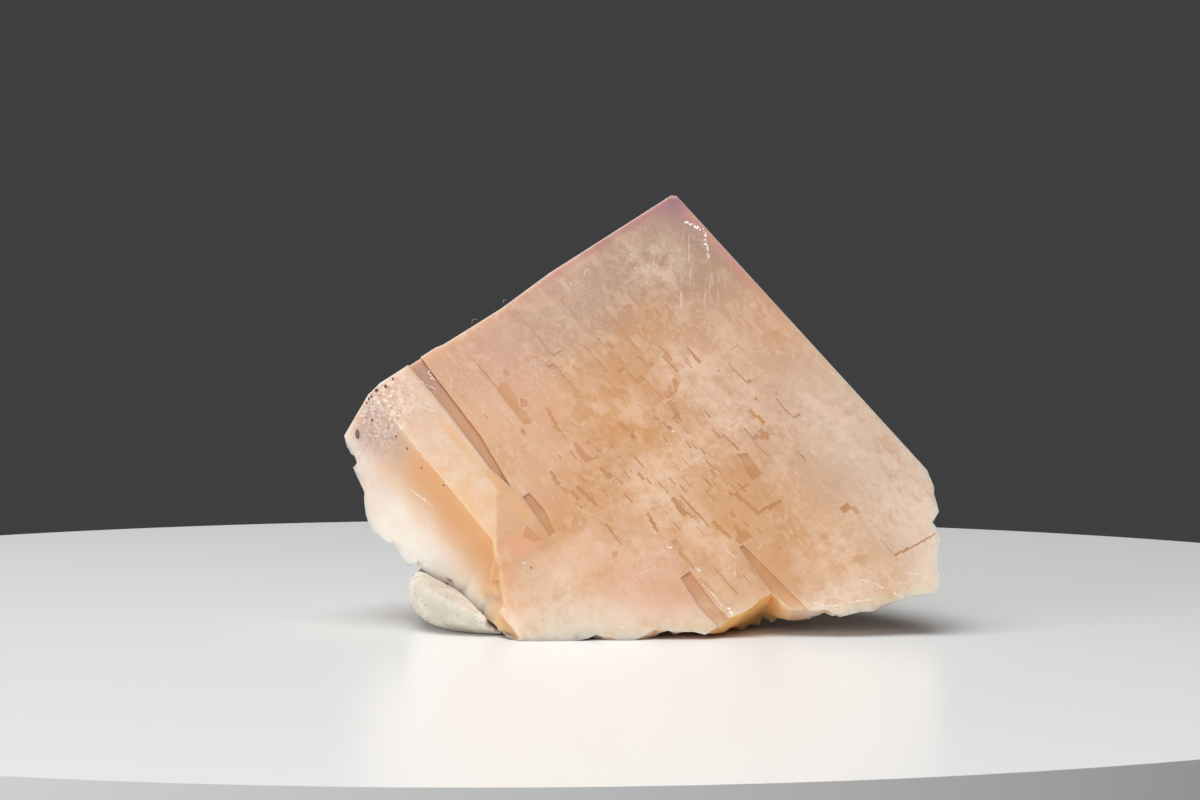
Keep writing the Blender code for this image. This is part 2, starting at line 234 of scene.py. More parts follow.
def in_cube(point):
    """The place in the cube's axes, in millimetres, of a world position."""
    return TO_CUBE @ (point - CORNER) / MM


# --- what shows on the front face, measured on it in millimetres ------------------

# Narrow steps: width, then the path as (a, b).
STEPS = [
    (0.16, [(32.0, 2.6), (32.0, 8.7)]),
    (0.12, [(24.4, 3.2), (24.5, 8.7), (23.4, 8.9)]),
    (0.10, [(19.4, 3.5), (19.3, 6.7)]),
    (0.18, [(16.3, 9.0), (16.4, 12.5), (16.3, 14.4)]),
    (0.16, [(16.8, 14.5), (16.9, 15.9), (16.0, 16.3)]),
    (0.20, [(20.9, 9.9), (20.9, 12.0)]),
    (0.34, [(20.9, 12.0), (20.9, 13.8)]),
    (0.11, [(19.0, 10.0), (19.1, 11.0), (18.6, 11.3), (18.4, 11.9)]),
    (0.13, [(19.3, 12.2), (18.7, 14.3)]),
    (0.15, [(19.9, 14.5), (19.0, 14.8)]),
    (0.22, [(19.0, 14.8), (19.1, 16.6), (18.2, 17.1)]),
    (0.18, [(14.1, 14.9), (14.1, 16.1), (14.6, 17.0), (14.5, 18.5)]),
    (0.12, [(18.1, 16.9), (18.0, 20.2)]),
    (0.12, [(11.8, 16.8), (11.6, 18.1), (11.9, 19.1)]),
    (0.07, [(9.3, 21.2), (9.1, 24.1), (8.6, 24.4)]),
    (0.06, [(7.9, 19.9), (6.9, 19.9), (6.9, 20.9)]),
    (0.10, [(7.7, 27.7), (7.9, 29.3), (7.7, 30.7), (6.9, 30.8)]),
    (0.12, [(29.0, 13.5), (29.8, 16.6)]),
    (0.08, [(25.6, 13.4), (26.1, 15.2)]),
    (0.18, [(15.4, 27.7), (15.2, 30.1)]),
    (0.10, [(14.1, 27.4), (13.2, 27.4)]),
    (0.16, [(11.2, 27.1), (10.7, 29.2)]),
    (0.13, [(13.0, 28.4), (13.1, 29.9), (12.4, 30.2), (11.3, 30.7)]),
    (0.36, [(11.7, 29.8), (11.8, 30.9)]),
    (0.16, [(25.0, 24.0), (25.0, 25.6)]),
    (0.18, [(33.4, 20.0), (33.8, 21.7)]),
    (0.15, [(33.7, 22.2), (33.7, 23.1)]),
    (0.16, [(33.0, 23.2), (33.2, 24.4)]),
    (0.20, [(32.3, 23.2), (31.9, 26.2)]),
    (0.10, [(28.7, 22.8), (28.9, 23.9), (28.4, 24.5)]),
    (0.10, [(25.8, 25.8), (26.0, 26.7)]),
    (0.30, [(24.7, 30.5), (25.0, 32.6)]),
    (0.20, [(23.9, 30.8), (23.7, 35.2)]),
    (0.24, [(23.1, 35.3), (22.9, 36.1), (22.7, 37.7)]),
    (0.20, [(26.5, 32.8), (26.5, 33.8)]),
    (0.14, [(28.1, 30.2), (28.6, 32.5)]),
    (0.14, [(20.5, 30.7), (20.4, 31.9)]),
    (0.18, [(19.3, 33.6), (19.3, 34.0)]),
    (0.24, [(18.9, 34.1), (18.4, 37.4)]),
    (0.16, [(18.1, 37.3), (17.1, 37.4), (16.2, 37.7), (15.5, 37.6)]),
    (0.20, [(20.7, 35.4), (20.8, 36.1)]),
    (0.06, [(18.2, 33.9), (17.1, 34.0)]),
    (0.10, [(32.5, 28.5), (32.7, 31.5)]),
    (0.20, [(22.9, 43.3), (23.2, 45.3)]),
    (0.14, [(23.3, 41.7), (23.1, 43.3)]),
    (0.12, [(24.4, 42.0), (24.4, 43.4)]),
    (0.10, [(26.4, 39.5), (26.3, 43.2)]),
    (0.24, [(28.0, 34.5), (27.7, 35.8)]),
    (0.40, [(28.2, 36.0), (28.1, 38.1)]),
    (0.11, [(10.8, 42.2), (9.8, 42.9), (9.4, 43.8)]),
    (0.05, [(9.7, 47.6), (9.7, 49.9), (7.9, 50.3), (4.4, 50.7)]),
]

# Clear patches, where the frosted skin is missing and the brown inside shows.
CLEAR_PATCHES = [
    [
        (31.4, 8.0), (30.8, 8.4), (30.9, 10.3), (31.5, 11.7),
        (31.2, 12.7), (31.6, 14.1), (32.4, 13.7), (32.2, 8.7),
    ],
    [(30.2, 7.0), (29.8, 7.0), (29.9, 7.9), (30.4, 7.8)],
    [(30.8, 10.9), (30.4, 11.1), (30.3, 11.8), (30.8, 12.1), (31.3, 11.8)],
    [(33.2, 14.1), (32.7, 14.0), (32.8, 14.8), (33.1, 14.8)],
    [
        (29.3, 18.6), (29.0, 18.8), (29.1, 20.5), (28.8, 21.4),
        (28.1, 21.4), (28.2, 21.8), (29.8, 21.4), (29.8, 19.9),
    ],
    [(30.4, 19.3), (30.2, 19.3), (30.2, 20.5), (30.4, 20.5)],
    [(23.8, 21.5), (23.3, 21.5), (23.4, 22.3), (23.8, 22.2)],
    [(26.4, 21.3), (26.0, 21.3), (26.0, 21.8), (26.4, 21.8)],
    [(19.9, 23.2), (19.5, 23.2), (19.5, 23.8), (19.9, 23.8)],
    [(18.0, 20.8), (17.3, 20.9), (17.4, 21.7), (18.0, 23.6), (18.5, 22.9), (18.0, 22.1)],
    [
        (15.6, 18.9), (15.2, 19.0), (15.2, 19.7), (16.1, 20.5),
        (17.5, 20.6), (17.5, 20.3), (16.3, 20.2),
    ],
    [(15.8, 30.4), (14.7, 31.0), (15.0, 33.9), (16.4, 33.9), (16.2, 32.3), (15.7, 31.3)],
    [
        (21.4, 36.6), (21.2, 37.9), (20.7, 37.9), (20.7, 39.1),
        (22.3, 39.0), (22.5, 38.3), (21.9, 38.0),
    ],
    [(39.5, 23.6), (39.1, 26.0), (40.0, 25.6), (40.7, 24.4)],
    [(34.0, 31.5), (33.5, 31.8), (33.9, 32.2), (34.4, 32.0)],
    [(10.8, 21.0), (10.6, 21.0), (10.6, 21.3), (10.8, 21.3)],
    [(9.8, 26.2), (9.5, 26.2), (9.5, 26.5), (9.8, 26.5)],
    [(7.5, 27.1), (7.3, 27.1), (7.3, 27.4), (7.5, 27.4)],
    [(10.3, 11.0), (10.1, 11.0), (10.1, 11.5), (10.3, 11.5)],
]

# White bruises and healed cracks, and at the corner a painted glint of a crack, each a width and a
# path of (a, b) as seen from the camera, on whichever face lies there.
BRUISES_AND_GLINTS = [
    # The first three marks are the painted glint at the corner.
    (0.46, [(1.5, 3.7), (0.8, 4.8), (0.35, 5.9)]),
    (0.38, [(0.4, 5.9), (1.0, 7.0), (1.6, 8.0)]),
    (0.26, [(1.6, 8.0), (2.4, 9.2)]),
    (0.12, [(2.2, 5.4), (3.4, 6.8), (4.6, 8.4)]),
    (0.05, [(3.6, 7.6), (5.0, 9.4), (6.0, 11.0)]),
    (0.14, [(7.6, 10.6), (9.1, 12.5)]),
    (0.08, [(4.4, 11.8), (5.2, 12.8)]),
    (0.06, [(7.4, 15.6), (8.0, 16.3)]),
    (0.05, [(10.2, 13.1), (10.8, 13.8)]),
    (0.05, [(6.0, 12.2), (7.0, 13.6)]),
    (0.12, [(14.8, 2.1), (15.3, 2.5)]),
    (0.10, [(17.1, 2.4), (17.3, 2.9)]),
    (0.10, [(27.5, 8.2), (26.6, 8.5)]),
    (0.13, [(26.2, 8.7), (25.1, 8.8)]),
    (0.12, [(35.3, 4.3), (35.8, 4.9), (36.2, 5.4)]),
    (0.28, [(36.4, 1.7), (36.9, 2.2), (37.1, 3.1), (36.8, 3.6)]),
    (0.16, [(38.3, 2.6), (38.0, 3.6), (37.6, 4.3), (37.9, 4.6)]),
    (0.16, [(40.6, 4.7), (39.8, 5.8), (39.1, 6.8)]),
    (0.10, [(39.7, 4.5), (39.0, 6.2)]),
    (0.14, [(43.6, 9.0), (43.5, 9.7)]),
    (0.12, [(43.55, 10.1), (43.6, 10.9)]),
    (0.26, [(47.0, 12.7), (46.7, 13.7), (46.5, 14.8), (46.3, 15.7)]),
    (0.18, [(47.9, 15.9), (47.6, 17.1), (47.3, 17.9)]),
    (0.20, [(43.5, 14.3), (43.5, 14.6)]),
    (0.05, [(32.1, 32.0), (28.9, 38.2)]),
    (0.16, [(29.2, 32.0), (28.9, 32.7)]),
    (0.26, [(28.9, 34.5), (28.6, 35.0)]),
    (0.20, [(28.0, 38.1), (27.9, 38.8)]),
    (0.16, [(28.6, 40.1), (28.4, 41.7), (28.5, 43.3)]),
    (0.34, [(28.2, 43.7), (28.1, 44.4), (28.5, 45.0)]),
    (0.10, [(24.2, 40.3), (25.2, 41.6)]),
    (0.12, [(24.0, 38.3), (23.8, 39.9)]),
    (0.20, [(19.8, 24.0), (19.5, 24.2)]),
    (0.16, [(42.6, 26.7), (42.2, 27.0)]),
    (0.12, [(35.1, 22.2), (35.3, 22.8)]),
    (0.10, [(1.2, 25.0), (1.1, 26.4), (0.8, 28.0), (0.5, 29.6)]),
    (0.06, [(3.4, 22.0), (3.9, 22.8)]),
    (0.09, [(1.9, 38.4), (2.6, 40.0), (3.2, 41.4)]),
    (0.06, [(2.8, 38.4), (3.8, 40.6), (4.6, 42.4)]),
    (0.16, [(14.6, 49.9), (13.8, 50.8), (13.2, 52.2)]),
    (0.22, [(12.8, 53.0), (12.2, 54.2)]),
    (0.14, [(10.0, 52.2), (9.2, 53.0), (8.6, 54.0)]),
    (0.22, [(43.9, 1.2), (44.6, 2.0), (44.9, 3.0)]),
    (0.16, [(44.8, 1.4), (45.6, 2.6)]),
    (0.14, [(42.6, 0.8), (43.2, 1.6)]),
    (0.20, [(20.4, 48.9), (19.4, 50.2), (18.2, 50.9)]),
    (0.18, [(17.4, 51.2), (16.4, 51.6), (15.2, 52.3)]),
    (0.16, [(7.4, 54.4), (6.4, 55.0), (5.2, 55.4)]),
    (0.12, [(11.4, 52.6), (10.8, 53.4)]),
    (0.20, [(34.2, 43.2), (33.6, 43.8)]),
    (0.24, [(38.8, 38.6), (38.2, 39.3)]),
]

# Where tiny white flakes stand for painted glints: place on the front face and radius.
GLITTER_PATCHES = [
    (8.3, 5.3, 1.4),
    (6.2, 8.6, 1.6),
    (11.0, 4.6, 2.2),
    (5.2, 12.6, 1.8),
    (14.6, 3.2, 1.6),
    (17.5, 8.0, 3.0),
    (11.5, 14.5, 2.6),
    (25.0, 11.0, 3.4),
    (14.5, 22.5, 3.2),
    (22.0, 27.0, 3.6),
    (33.5, 17.0, 3.0),
    (28.6, 32.6, 0.8),
    (29.0, 35.0, 1.2),
    (37.5, 29.0, 2.2),
    (41.6, 28.2, 1.5),
    (34.0, 35.0, 2.6),
    (24.0, 41.0, 2.0),
    (11.0, 35.0, 3.0),
    (6.0, 44.0, 2.6),
]

# Frosted crusts on the rims: centre and radii as (a, b, c), and how strong.
CRUSTS = [
    ((42.5, 33.0, -2.0), (4.0, 5.0, 6.0), 0.5),
    ((38.5, 38.0, -1.5), (3.0, 3.5, 4.0), 0.4),
    ((19.0, 50.0, -1.0), (5.0, 2.4, 4.0), 0.7),
    ((7.0, 55.0, -1.0), (5.0, 2.6, 4.0), 0.6),
]

# Warm zones of the front face: centre and radii as (a, b), and how strong.
WARM_ZONES = [
    ((21.0, 20.0), (8.5, 7.0), 1.0),
    ((12.5, 12.0), (4.5, 4.0), 0.55),
    ((30.5, 25.5), (5.0, 4.0), 0.7),
    ((16.0, 33.0), (6.0, 4.0), 0.65),
    ((25.5, 34.5), (5.0, 4.5), 0.7),
    ((12.0, 44.0), (9.0, 5.0), 0.3),
    ((36.0, 26.0), (3.5, 3.0), 0.6),
    ((18.0, 42.0), (5.0, 5.0), 0.25),
    ((36.5, 35.5), (3.5, 3.5), 0.5),
]

# Single patches of the stone: centre and radii as (a, b, c), and how soft the edge is.
DUSKY_TOP = ((24.0, 3.0, 0.0), (12.0, 6.5, 5.0), 0.7)
PINK_LEFT = ((31.0, 12.0, 0.0), (5.0, 9.0, 5.0), 0.8)
DULL_RIGHT = ((9.0, 24.0, 0.0), (8.0, 13.0, 5.0), 0.8)
STREAKS_AT = ((4.8, 9.0, 0.0), (3.6, 6.0, 4.0), 0.7)
ROSY_FOOT = ((34.0, 37.0, 0.0), (4.5, 5.0, 3.0), 0.8)
SMOKY_TIP = ((45.5, 2.6, -2.0), (3.2, 5.6, 3.5), 0.5)
GRITTY_TIP = ((44.0, 2.4, -1.0), (4.2, 4.0, 3.5), 0.6)
# Where the thin underside carries a painted orange glow of light through the stone.
PAINTED_GLOW_BELOW = ((28.0, 44.5, -4.0), (7.0, 6.5, 5.5), 0.35)

# The pale ground at the foot of the tread, and the floor of the groove.
PALE_FOOT = ((33.0, 41.0, 1.0), (27.4, 32.0, 1.0))
GROOVE_FLOOR = ((36.2, 38.7, 0.15), (-9.0, 17.2, 1.2), (0.1, 0.6, 0.08))

# Tones of the stone and of the putty, as 0 to 255 values.
PEACH = (214, 170, 129)
DEEP_PEACH = (208, 162, 121)
# Grey of the painted shade at the top, where the dark backdrop would show through.
PAINTED_SHADE_GREY = (166, 133, 111)
DUSKY_PINK = (195, 157, 136)
SALMON = (222, 170, 146)
WARM_TAN = (204, 145, 80)
PALE_HAZE = (212, 191, 174)
FROSTED_TIP = (238, 222, 208)
DULL_TAN = (196, 156, 132)
LIGHT_BLOCK = (238, 210, 183)
DARK_BLOCK = (192, 134, 86)
GROWTH_LINE = (196, 142, 108)
VEIL = (232, 201, 174)
WISP = (240, 217, 196)
MILK = (238, 212, 190)
STREAK = (240, 224, 216)
TREAD_TOP = (224, 192, 166)
TREAD_LOW = (228, 190, 150)
TREAD_END = (219, 187, 166)
TREAD_CLOUD = (234, 210, 188)
FOOT_PINK = (234, 200, 176)
ROSE = (228, 182, 160)
CREAM = (242, 226, 212)
LIGHT_CREAM = (248, 238, 226)
PINK_CREAM = (228, 204, 192)
CREAM_GRAIN = (250, 238, 226)
PALE_ORANGE = (228, 186, 146)
ORANGE_CORE = (222, 166, 112)
SMOKE = (200, 166, 148)
WHITE_GRAIN = (248, 238, 230)
GREY_GRAIN = (150, 122, 110)
BREAK_PINK = (224, 184, 156)
BREAK_WHITE = (238, 214, 198)
# Orange of the painted glow on the thin underside.
PAINTED_GLOW_ORANGE = (255, 190, 104)
CORNER_GLOW = (184, 146, 136)
CORNER_PURPLE = (150, 100, 112)
RIM_PINK = (206, 134, 124)
LEFT_RIM_PINK = (212, 152, 136)
CRUST_WHITE = (240, 222, 206)
CRUMB = (238, 215, 196)
CLEAR_BROWN = (194, 140, 94)
CLEAR_AMBER = (202, 144, 86)
GROOVE_BROWN = (203, 149, 106)
GROOVE_RED = (182, 134, 110)
PUTTY_DARK = (198, 189, 174)
PUTTY_LIGHT = (220, 213, 201)
PUTTY_SPECK = (120, 108, 96)

# The mosaic's blocks: how many to a millimetre, how strong, and an offset.
MOSAIC_BLOCKS = ((0.34, 0.18, 0.0), (0.95, 0.26, 4.0), (2.6, 0.22, 9.0), (6.0, 0.16, 13.0))

# Tinted patches of the pale tread: from, to and softness along a, the same along b, how
# strong, and the tone.
TREAD_PATCHES = [
    ((38.9, 39.8, 0.4), (7.2, 13.4, 2.2), 0.9, (227, 182, 136)),
    ((38.2, 39.4, 0.3), (15.6, 23.4, 0.6), 0.85, (221, 170, 122)),
    ((39.3, 42.6, 0.5), (23.6, 26.3, 0.3), 0.6, (224, 162, 122)),
    ((35.2, 37.1, 0.3), (19.8, 23.3, 0.4), 0.6, (212, 158, 122)),
]

# Milky veils under the front face: centre and radii as (a, b).
VEILS = [
    ((20.0, 27.5), (7.0, 2.6)),
    ((12.5, 26.0), (3.0, 5.0)),
    ((26.0, 29.0), (3.5, 5.0)),
    ((14.0, 19.0), (3.0, 3.5)),
    ((8.0, 6.0), (3.2, 3.0)),
    ((31.0, 34.0), (3.0, 3.0)),
    ((24.5, 36.5), (1.6, 4.0)),
    ((5.0, 33.0), (3.0, 6.0)),
    ((14.0, 51.0), (3.4, 1.6)),
    ((9.0, 53.6), (2.6, 1.4)),
    ((4.6, 51.0), (1.6, 3.2)),
    ((14.0, 45.0), (5.0, 3.0)),
]

# Dark grains grown into the stone: place as seen from the camera, length and width.
DARK_GRAINS = [
    (47.7, 3.9, 1.15, 0.62),
    (43.8, 1.0, 0.34, 0.26),
    (44.7, 1.4, 0.30, 0.24),
    (43.4, 0.5, 0.18, 0.14),
    (44.1, 0.7, 0.20, 0.14),
    (44.5, 6.6, 0.30, 0.22),
    (44.4, 8.5, 0.36, 0.22),
    (44.5, 11.3, 0.30, 0.18),
    (43.8, 14.4, 0.26, 0.20),
    (46.0, 5.2, 0.16, 0.12),
    (42.1, 27.8, 0.24, 0.20),
    (44.8, 33.3, 0.16, 0.12),
    (41.8, 0.9, 0.5, 0.35),
    (42.9, 0.7, 0.45, 0.4),
    (44.2, 1.1, 0.4, 0.3),
    (45.4, 3.4, 0.35, 0.3),
    (40.6, 0.6, 0.35, 0.25),
]

# Stray fibres caught on the upper left edge: where along it, and how they curl.
FIBRES = [(29.3, 0.22, 0.7), (24.9, 0.2, 0.5)]


def front_pits():
    """Every recess of the front face as an outline of (a, b) and a depth."""
    rng = random.Random(SEED)
    pits = [(outline, rng.choice(PIT_DEPTHS)) for outline in CLEAR_PATCHES]
    for width, path in STEPS:
        for start, end in zip(path, path[1:]):
            pits += stair(start, end, width, rng)
    return pits + small_steps(rng)


def stair(start, end, width, rng):
    """A narrow step from start to end, jogging from block to block along the axes."""
    length = math.dist(start, end)
    blocks = max(1, round(length / STEP_BLOCK))
    pits = []
    for i in range(blocks):
        near, far = i / blocks, (i + 1) / blocks
        a0, a1 = (start[0] + (end[0] - start[0]) * t for t in (near, far))
        b0, b1 = (start[1] + (end[1] - start[1]) * t for t in (near, far))
        half = width * rng.uniform(0.35, 0.75)
        a_low, a_high = min(a0, a1) - half, max(a0, a1) + half
        b_low, b_high = min(b0, b1) - half, max(b0, b1) + half
        outline = [(a_low, b_low), (a_high, b_low), (a_high, b_high), (a_low, b_high)]
        pits.append((outline, rng.choice(PIT_DEPTHS)))
    return pits


def small_steps(rng):
    """The many tiny steps over the middle of the face, each a few blocks long."""
    pits = []
    for _ in range(SMALL_STEPS):
        a, b = (rng.gauss(middle, spread) for middle, spread, _, _ in SMALL_STEP_ZONE)
        if any(not low < at < high for at, (_, _, low, high) in zip((a, b), SMALL_STEP_ZONE)):
            continue
        length = rng.uniform(*SMALL_STEP_LENGTHS)
        width = rng.uniform(*SMALL_STEP_WIDTHS)
        aside = rng.uniform(-SMALL_STEP_DRIFT, SMALL_STEP_DRIFT)
        pits += stair((a, b), (a + aside, b + length), width, rng)
        if rng.random() < TURN_CHANCE:
            turn = rng.uniform(*TURN_LENGTHS)
            pits += stair((a, b + length), (a - turn, b + length), width * 0.8, rng)
    return pits


# --- the crystal's mesh ------------------------------------------------------------


def kind_of(face):
    """Which surface of the stone a CAD face belongs to."""
    normal = face.normal
    place = in_cube(face.calc_center_median())
    if normal.dot(C_AXIS) > PARALLEL and place.z > -FRONT_TREADS:
        return FRONT
    if normal.dot(-A_AXIS) > PARALLEL and place.x < RIGHT_TREADS:
        return RIGHT
    if normal.dot(-B_AXIS) > NEARLY_PARALLEL and place.y < LEFT_TREADS:
        return LEFT
    if normal.dot(LEFT_FACE_OUTWARD) > PARALLEL:
        return LOWER_LEFT
    beside_front = place.z > -FRONT_RISERS
    beside_right = place.x < RIGHT_RISERS and place.z > RIGHT_RISERS_END
    beside_left = place.y < LEFT_RISERS
    if beside_front or beside_right or beside_left:
        return FRONT
    return BREAK


def holds(ring, spot):
    """Whether a ring of points holds a spot."""
    inside = False
    for i, start in enumerate(ring):
        end = ring[i - 1]
        if (start.y > spot.y) != (end.y > spot.y):
            if spot.x < (end.x - start.x) * (spot.y - start.y) / (end.y - start.y) + start.x:
                inside = not inside
    return inside


def gap(spot, near, far):
    """How far a spot lies from the straight line between two others."""
    span = far - near
    share = max(0.0, min(1.0, (spot - near).dot(span) / max(span.length_squared, 1e-12)))
    return (near + span * share - spot).length


def well_inside(spot, ring, margin):
    """Whether a ring of points holds a spot and keeps at least the margin from it."""
    if not holds(ring, spot):
        return False
    return all(gap(spot, start, ring[i - 1]) >= margin for i, start in enumerate(ring))


def drift(place):
    """A smooth sideways shift of up to about one at a place, the same in every run."""
    return Vector(
        (
            noise.noise(place + Vector((9.3, -1.5, -7.9))),
            noise.noise(place),
            noise.noise(place + Vector((6.3, 0.2, -2.7))),
        )
    )


def fill_with_points(bm, face, spacing):
    """Replace a flat face with even triangles of the same kind."""
    verts = list(face.verts)
    normal = face.normal.copy()
    kind = face.material_index
    origin = face.calc_center_median()
    across = normal.orthogonal().normalized()
    up = normal.cross(across)
    flat = [Vector(((v.co - origin).dot(across), (v.co - origin).dot(up))) for v in verts]
    low = Vector((min(p.x for p in flat), min(p.y for p in flat)))
    high = Vector((max(p.x for p in flat), max(p.y for p in flat)))
    inner = []
    for row in range(1, int((high.y - low.y) / (spacing * 0.87)) + 1):
        for column in range(int((high.x - low.x) / spacing) + 2):
            x = low.x + (column + 0.5 * (row % 2)) * spacing
            spot = Vector((x, low.y + row * spacing * 0.87))
            spot += drift((spot * 900).to_3d()).to_2d() * spacing * 0.3
            if well_inside(spot, flat, spacing * 0.55):
                inner.append(spot)
    ring = list(range(len(flat)))
    points, _, triangles, sources, *_ = geometry.delaunay_2d_cdt(flat + inner, [], [ring], 1, 1e-9)
    made = []
    for point, source in zip(points, sources):
        if source and source[0] < len(verts):
            made.append(verts[source[0]])
        else:
            made.append(bm.verts.new(origin + across * point.x + up * point.y))
    bm.faces.remove(face)
    for triangle in triangles:
        corners = [made[i] for i in triangle]
        if (corners[1].co - corners[0].co).cross(corners[2].co - corners[0].co).dot(normal) < 0:
            corners.reverse()
        new = bm.faces.new(corners)
        new.material_index = kind


def octahedral_directions():
    """Outward normals of the eight cleavage planes."""
    signs = [(x, y, z) for x in (-1, 1) for y in (-1, 1) for z in (-1, 1)]
    return [(A_AXIS * x + B_AXIS * y + C_AXIS * z).normalized() for x, y, z in signs]


def struck_chips(rng, spots):
    """Flat chips off the ridges: a place on the cut, its radius and its cleavage plane."""
    chips = []
    for _ in range(STRUCK_CHIPS):
        spot, normal = rng.choice(spots)
        plane = max(octahedral_directions(), key=lambda direction: direction.dot(normal))
        if plane.dot(normal) > 0.9:
            depth = rng.uniform(*CHIP_DEPTHS) * MM
            chips.append((spot - plane * depth, rng.uniform(*CHIP_RADII) * MM, plane))
    return chips


def terrace(place, normal):
    """How far a stepped cleavage lies below the break at a place: treads and risers."""
    planes = octahedral_directions()
    along = planes[0] if abs(planes[0].dot(normal)) < 0.8 else planes[3]
    sway = noise.noise(place * 110) * 2.2 + noise.noise(place * 330) * 0.5
    turns = place.dot(along) / TERRACE_SPACING + sway
    tread = turns - math.floor(turns)
    share = max(0.0, min(1.0, noise.noise(place * 70 + Vector((9, 0, 0))) * 2.5 + 0.5))
    return min(tread, (1 - tread) * 6) * share * TERRACE_DROP


def distinct_normals(faces):
    """The normals of the flat faces that meet at a point, each direction once."""
    found = []
    for face in faces:
        if all(face.normal.dot(other) < 0.9999 for other in found):
            found.append(face.normal.copy())
    return found


def roughen(bm):
    """Grain, chips and cleavage steps on the breaks; a soft swell on the left face.

    A point shared with a flat face slides in that face, so that the rim is chipped
    and the face stays flat.
    """
    rng = random.Random(SEED + 1)
    bm.normal_update()
    breaks = [v for v in bm.verts if any(f.material_index == BREAK for f in v.link_faces)]
    chips = struck_chips(rng, [(v.co.copy(), v.normal.copy()) for v in breaks])
    moved = {}
    for vert in breaks:
        flats = distinct_normals(f for f in vert.link_faces if f.material_index != BREAK)
        place = vert.co.copy()
        grain = noise.noise(place * GRAIN_WAVES) * 0.6 + noise.noise(place * FINE_WAVES) * 0.4
        place += vert.normal * (grain * GRAIN_RELIEF - terrace(place, vert.normal))
        for spot, radius, plane in chips:
            if abs(place.x - spot.x) < radius and (place - spot).length < radius:
                place -= plane * max(0.0, (place - spot).dot(plane))
        move = place - vert.co
        if flats:
            move = drift(vert.co * RIM_WAVES) * RIM_RELIEF
            if any(f.material_index == LOWER_LEFT for f in vert.link_faces):
                move += drift(vert.co * LEFT_RIM_WAVES) * LEFT_RIM_RELIEF
            for normal in flats:
                move -= normal * move.dot(normal)
        if len(flats) > 1 or vert.co.z < FLOOR_CLEARANCE:
            move *= 0.0
        moved[vert] = vert.co + move
    for vert in bm.verts:
        if vert not in moved and all(f.material_index == LOWER_LEFT for f in vert.link_faces):
            swell = noise.noise(vert.co * 95 + Vector((3, 0, 0)))
            swell += 0.35 * noise.noise(vert.co * 300)
            moved[vert] = vert.co + vert.normal * swell * LEFT_FACE_SWELL
    for vert, place in moved.items():
        vert.co = place
        vert.co.z = max(vert.co.z, 0.0)


def top_region(bm):
    """The faces that make up the top level of the front cube face."""
    bm.normal_update()
    front = [f for f in bm.faces if f.material_index == FRONT and f.normal.dot(C_AXIS) > PARALLEL]
    level = in_cube(max(front, key=lambda face: face.calc_area()).calc_center_median()).z
    return [face for face in front if abs(in_cube(face.calc_center_median()).z - level) < 0.02]


def fits(outline, rim):
    """Whether an outline keeps clear of the rim segments all along."""
    for i, start in enumerate(outline):
        end = outline[i - 1]
        steps = max(1, math.ceil((end - start).length / RIM_TEST_STEP))
        for j in range(steps):
            spot = start + (end - start) * (j / steps)
            if any(gap(spot, near, far) < PIT_MARGIN for near, far in rim):
                return False
    return True


def anticlockwise(outline):
    """The outline as vectors, running so that its inside lies on the left."""
    outline = [Vector(corner) for corner in outline]
    turned = sum(outline[i - 1].cross(corner) for i, corner in enumerate(outline))
    return outline if turned > 0 else outline[::-1]


def cut_pits(bm, pits):
    """Sink the pits into the top level of the front face; where they cross, the deeper counts."""
    region = top_region(bm)
    in_region = set(region)
    ring = list(dict.fromkeys(vert for face in region for vert in face.verts))
    order = {vert: i for i, vert in enumerate(ring)}
    flat = [in_cube(vert.co) for vert in ring]
    level = flat[0].z
    rim = []
    for face in region:
        for edge in face.edges:
            if any(other not in in_region for other in edge.link_faces):
                rim.append(tuple(flat[order[vert]].xy for vert in edge.verts))
    corners = [place.xy for place in flat]
    outlines = [[order[vert] for vert in face.verts] for face in region]
    plates = [[corners[i] for i in outline] for outline in outlines]
    sunk = []
    for outline, depth in pits:
        outline = anticlockwise(outline)
        if fits(outline, rim) and any(holds(plate, outline[0]) for plate in plates):
            outlines.append(list(range(len(corners), len(corners) + len(outline))))
            corners += outline
            sunk.append((outline, depth))
    spots, _, cells, origins, *_ = geometry.delaunay_2d_cdt(corners, [], outlines, 1, 1e-5)
    kept = []
    for cell in cells:
        middle = sum((spots[i] for i in cell), Vector((0.0, 0.0))) / len(cell)
        if any(holds(plate, middle) for plate in plates):
            depths = [depth for shape, depth in sunk if holds(shape, middle)]
            kept.append((cell, max(depths, default=0.0)))
    sides = {}
    for cell, depth in kept:
        for i, start in enumerate(cell):
            sides[(cell[i - 1], start)] = depth
    levels = {}
    for (start, end), depth in sides.items():
        for spot in (start, end):
            levels.setdefault(spot, set()).add(depth)
    bmesh.ops.delete(bm, geom=region, context="FACES_KEEP_BOUNDARY")
    verts = {}
    for spot, at in levels.items():
        for depth in sorted(at):
            old = [ring[i] for i in origins[spot] if i < len(ring)]
            if depth == 0.0 and old and old[0].is_valid:
                verts[(spot, depth)] = old[0]
            else:
                verts[(spot, depth)] = bm.verts.new(at_cube(*spots[spot], level - depth))
    for cell, depth in kept:
        face = bm.faces.new([verts[(spot, depth)] for spot in cell])
        face.material_index = WINDOW if depth else FRONT
    for (start, end), depth in sides.items():
        shallow = sides.get((end, start), depth)
        if depth > shallow:
            near, far = (
                [verts[(spot, at)] for at in sorted(levels[spot]) if shallow <= at <= depth]
                for spot in (start, end)
            )
            face = bm.faces.new(far + near[::-1])
            face.material_index = WINDOW
    bmesh.ops.recalc_face_normals(bm, faces=bm.faces)


def object_of(name, bm, materials):
    mesh = bpy.data.meshes.new(name)
    bm.to_mesh(mesh)
    bm.free()
    for material in materials:
        mesh.materials.append(material)
    obj = bpy.data.objects.new(name, mesh)
    bpy.context.scene.collection.objects.link(obj)
    return obj


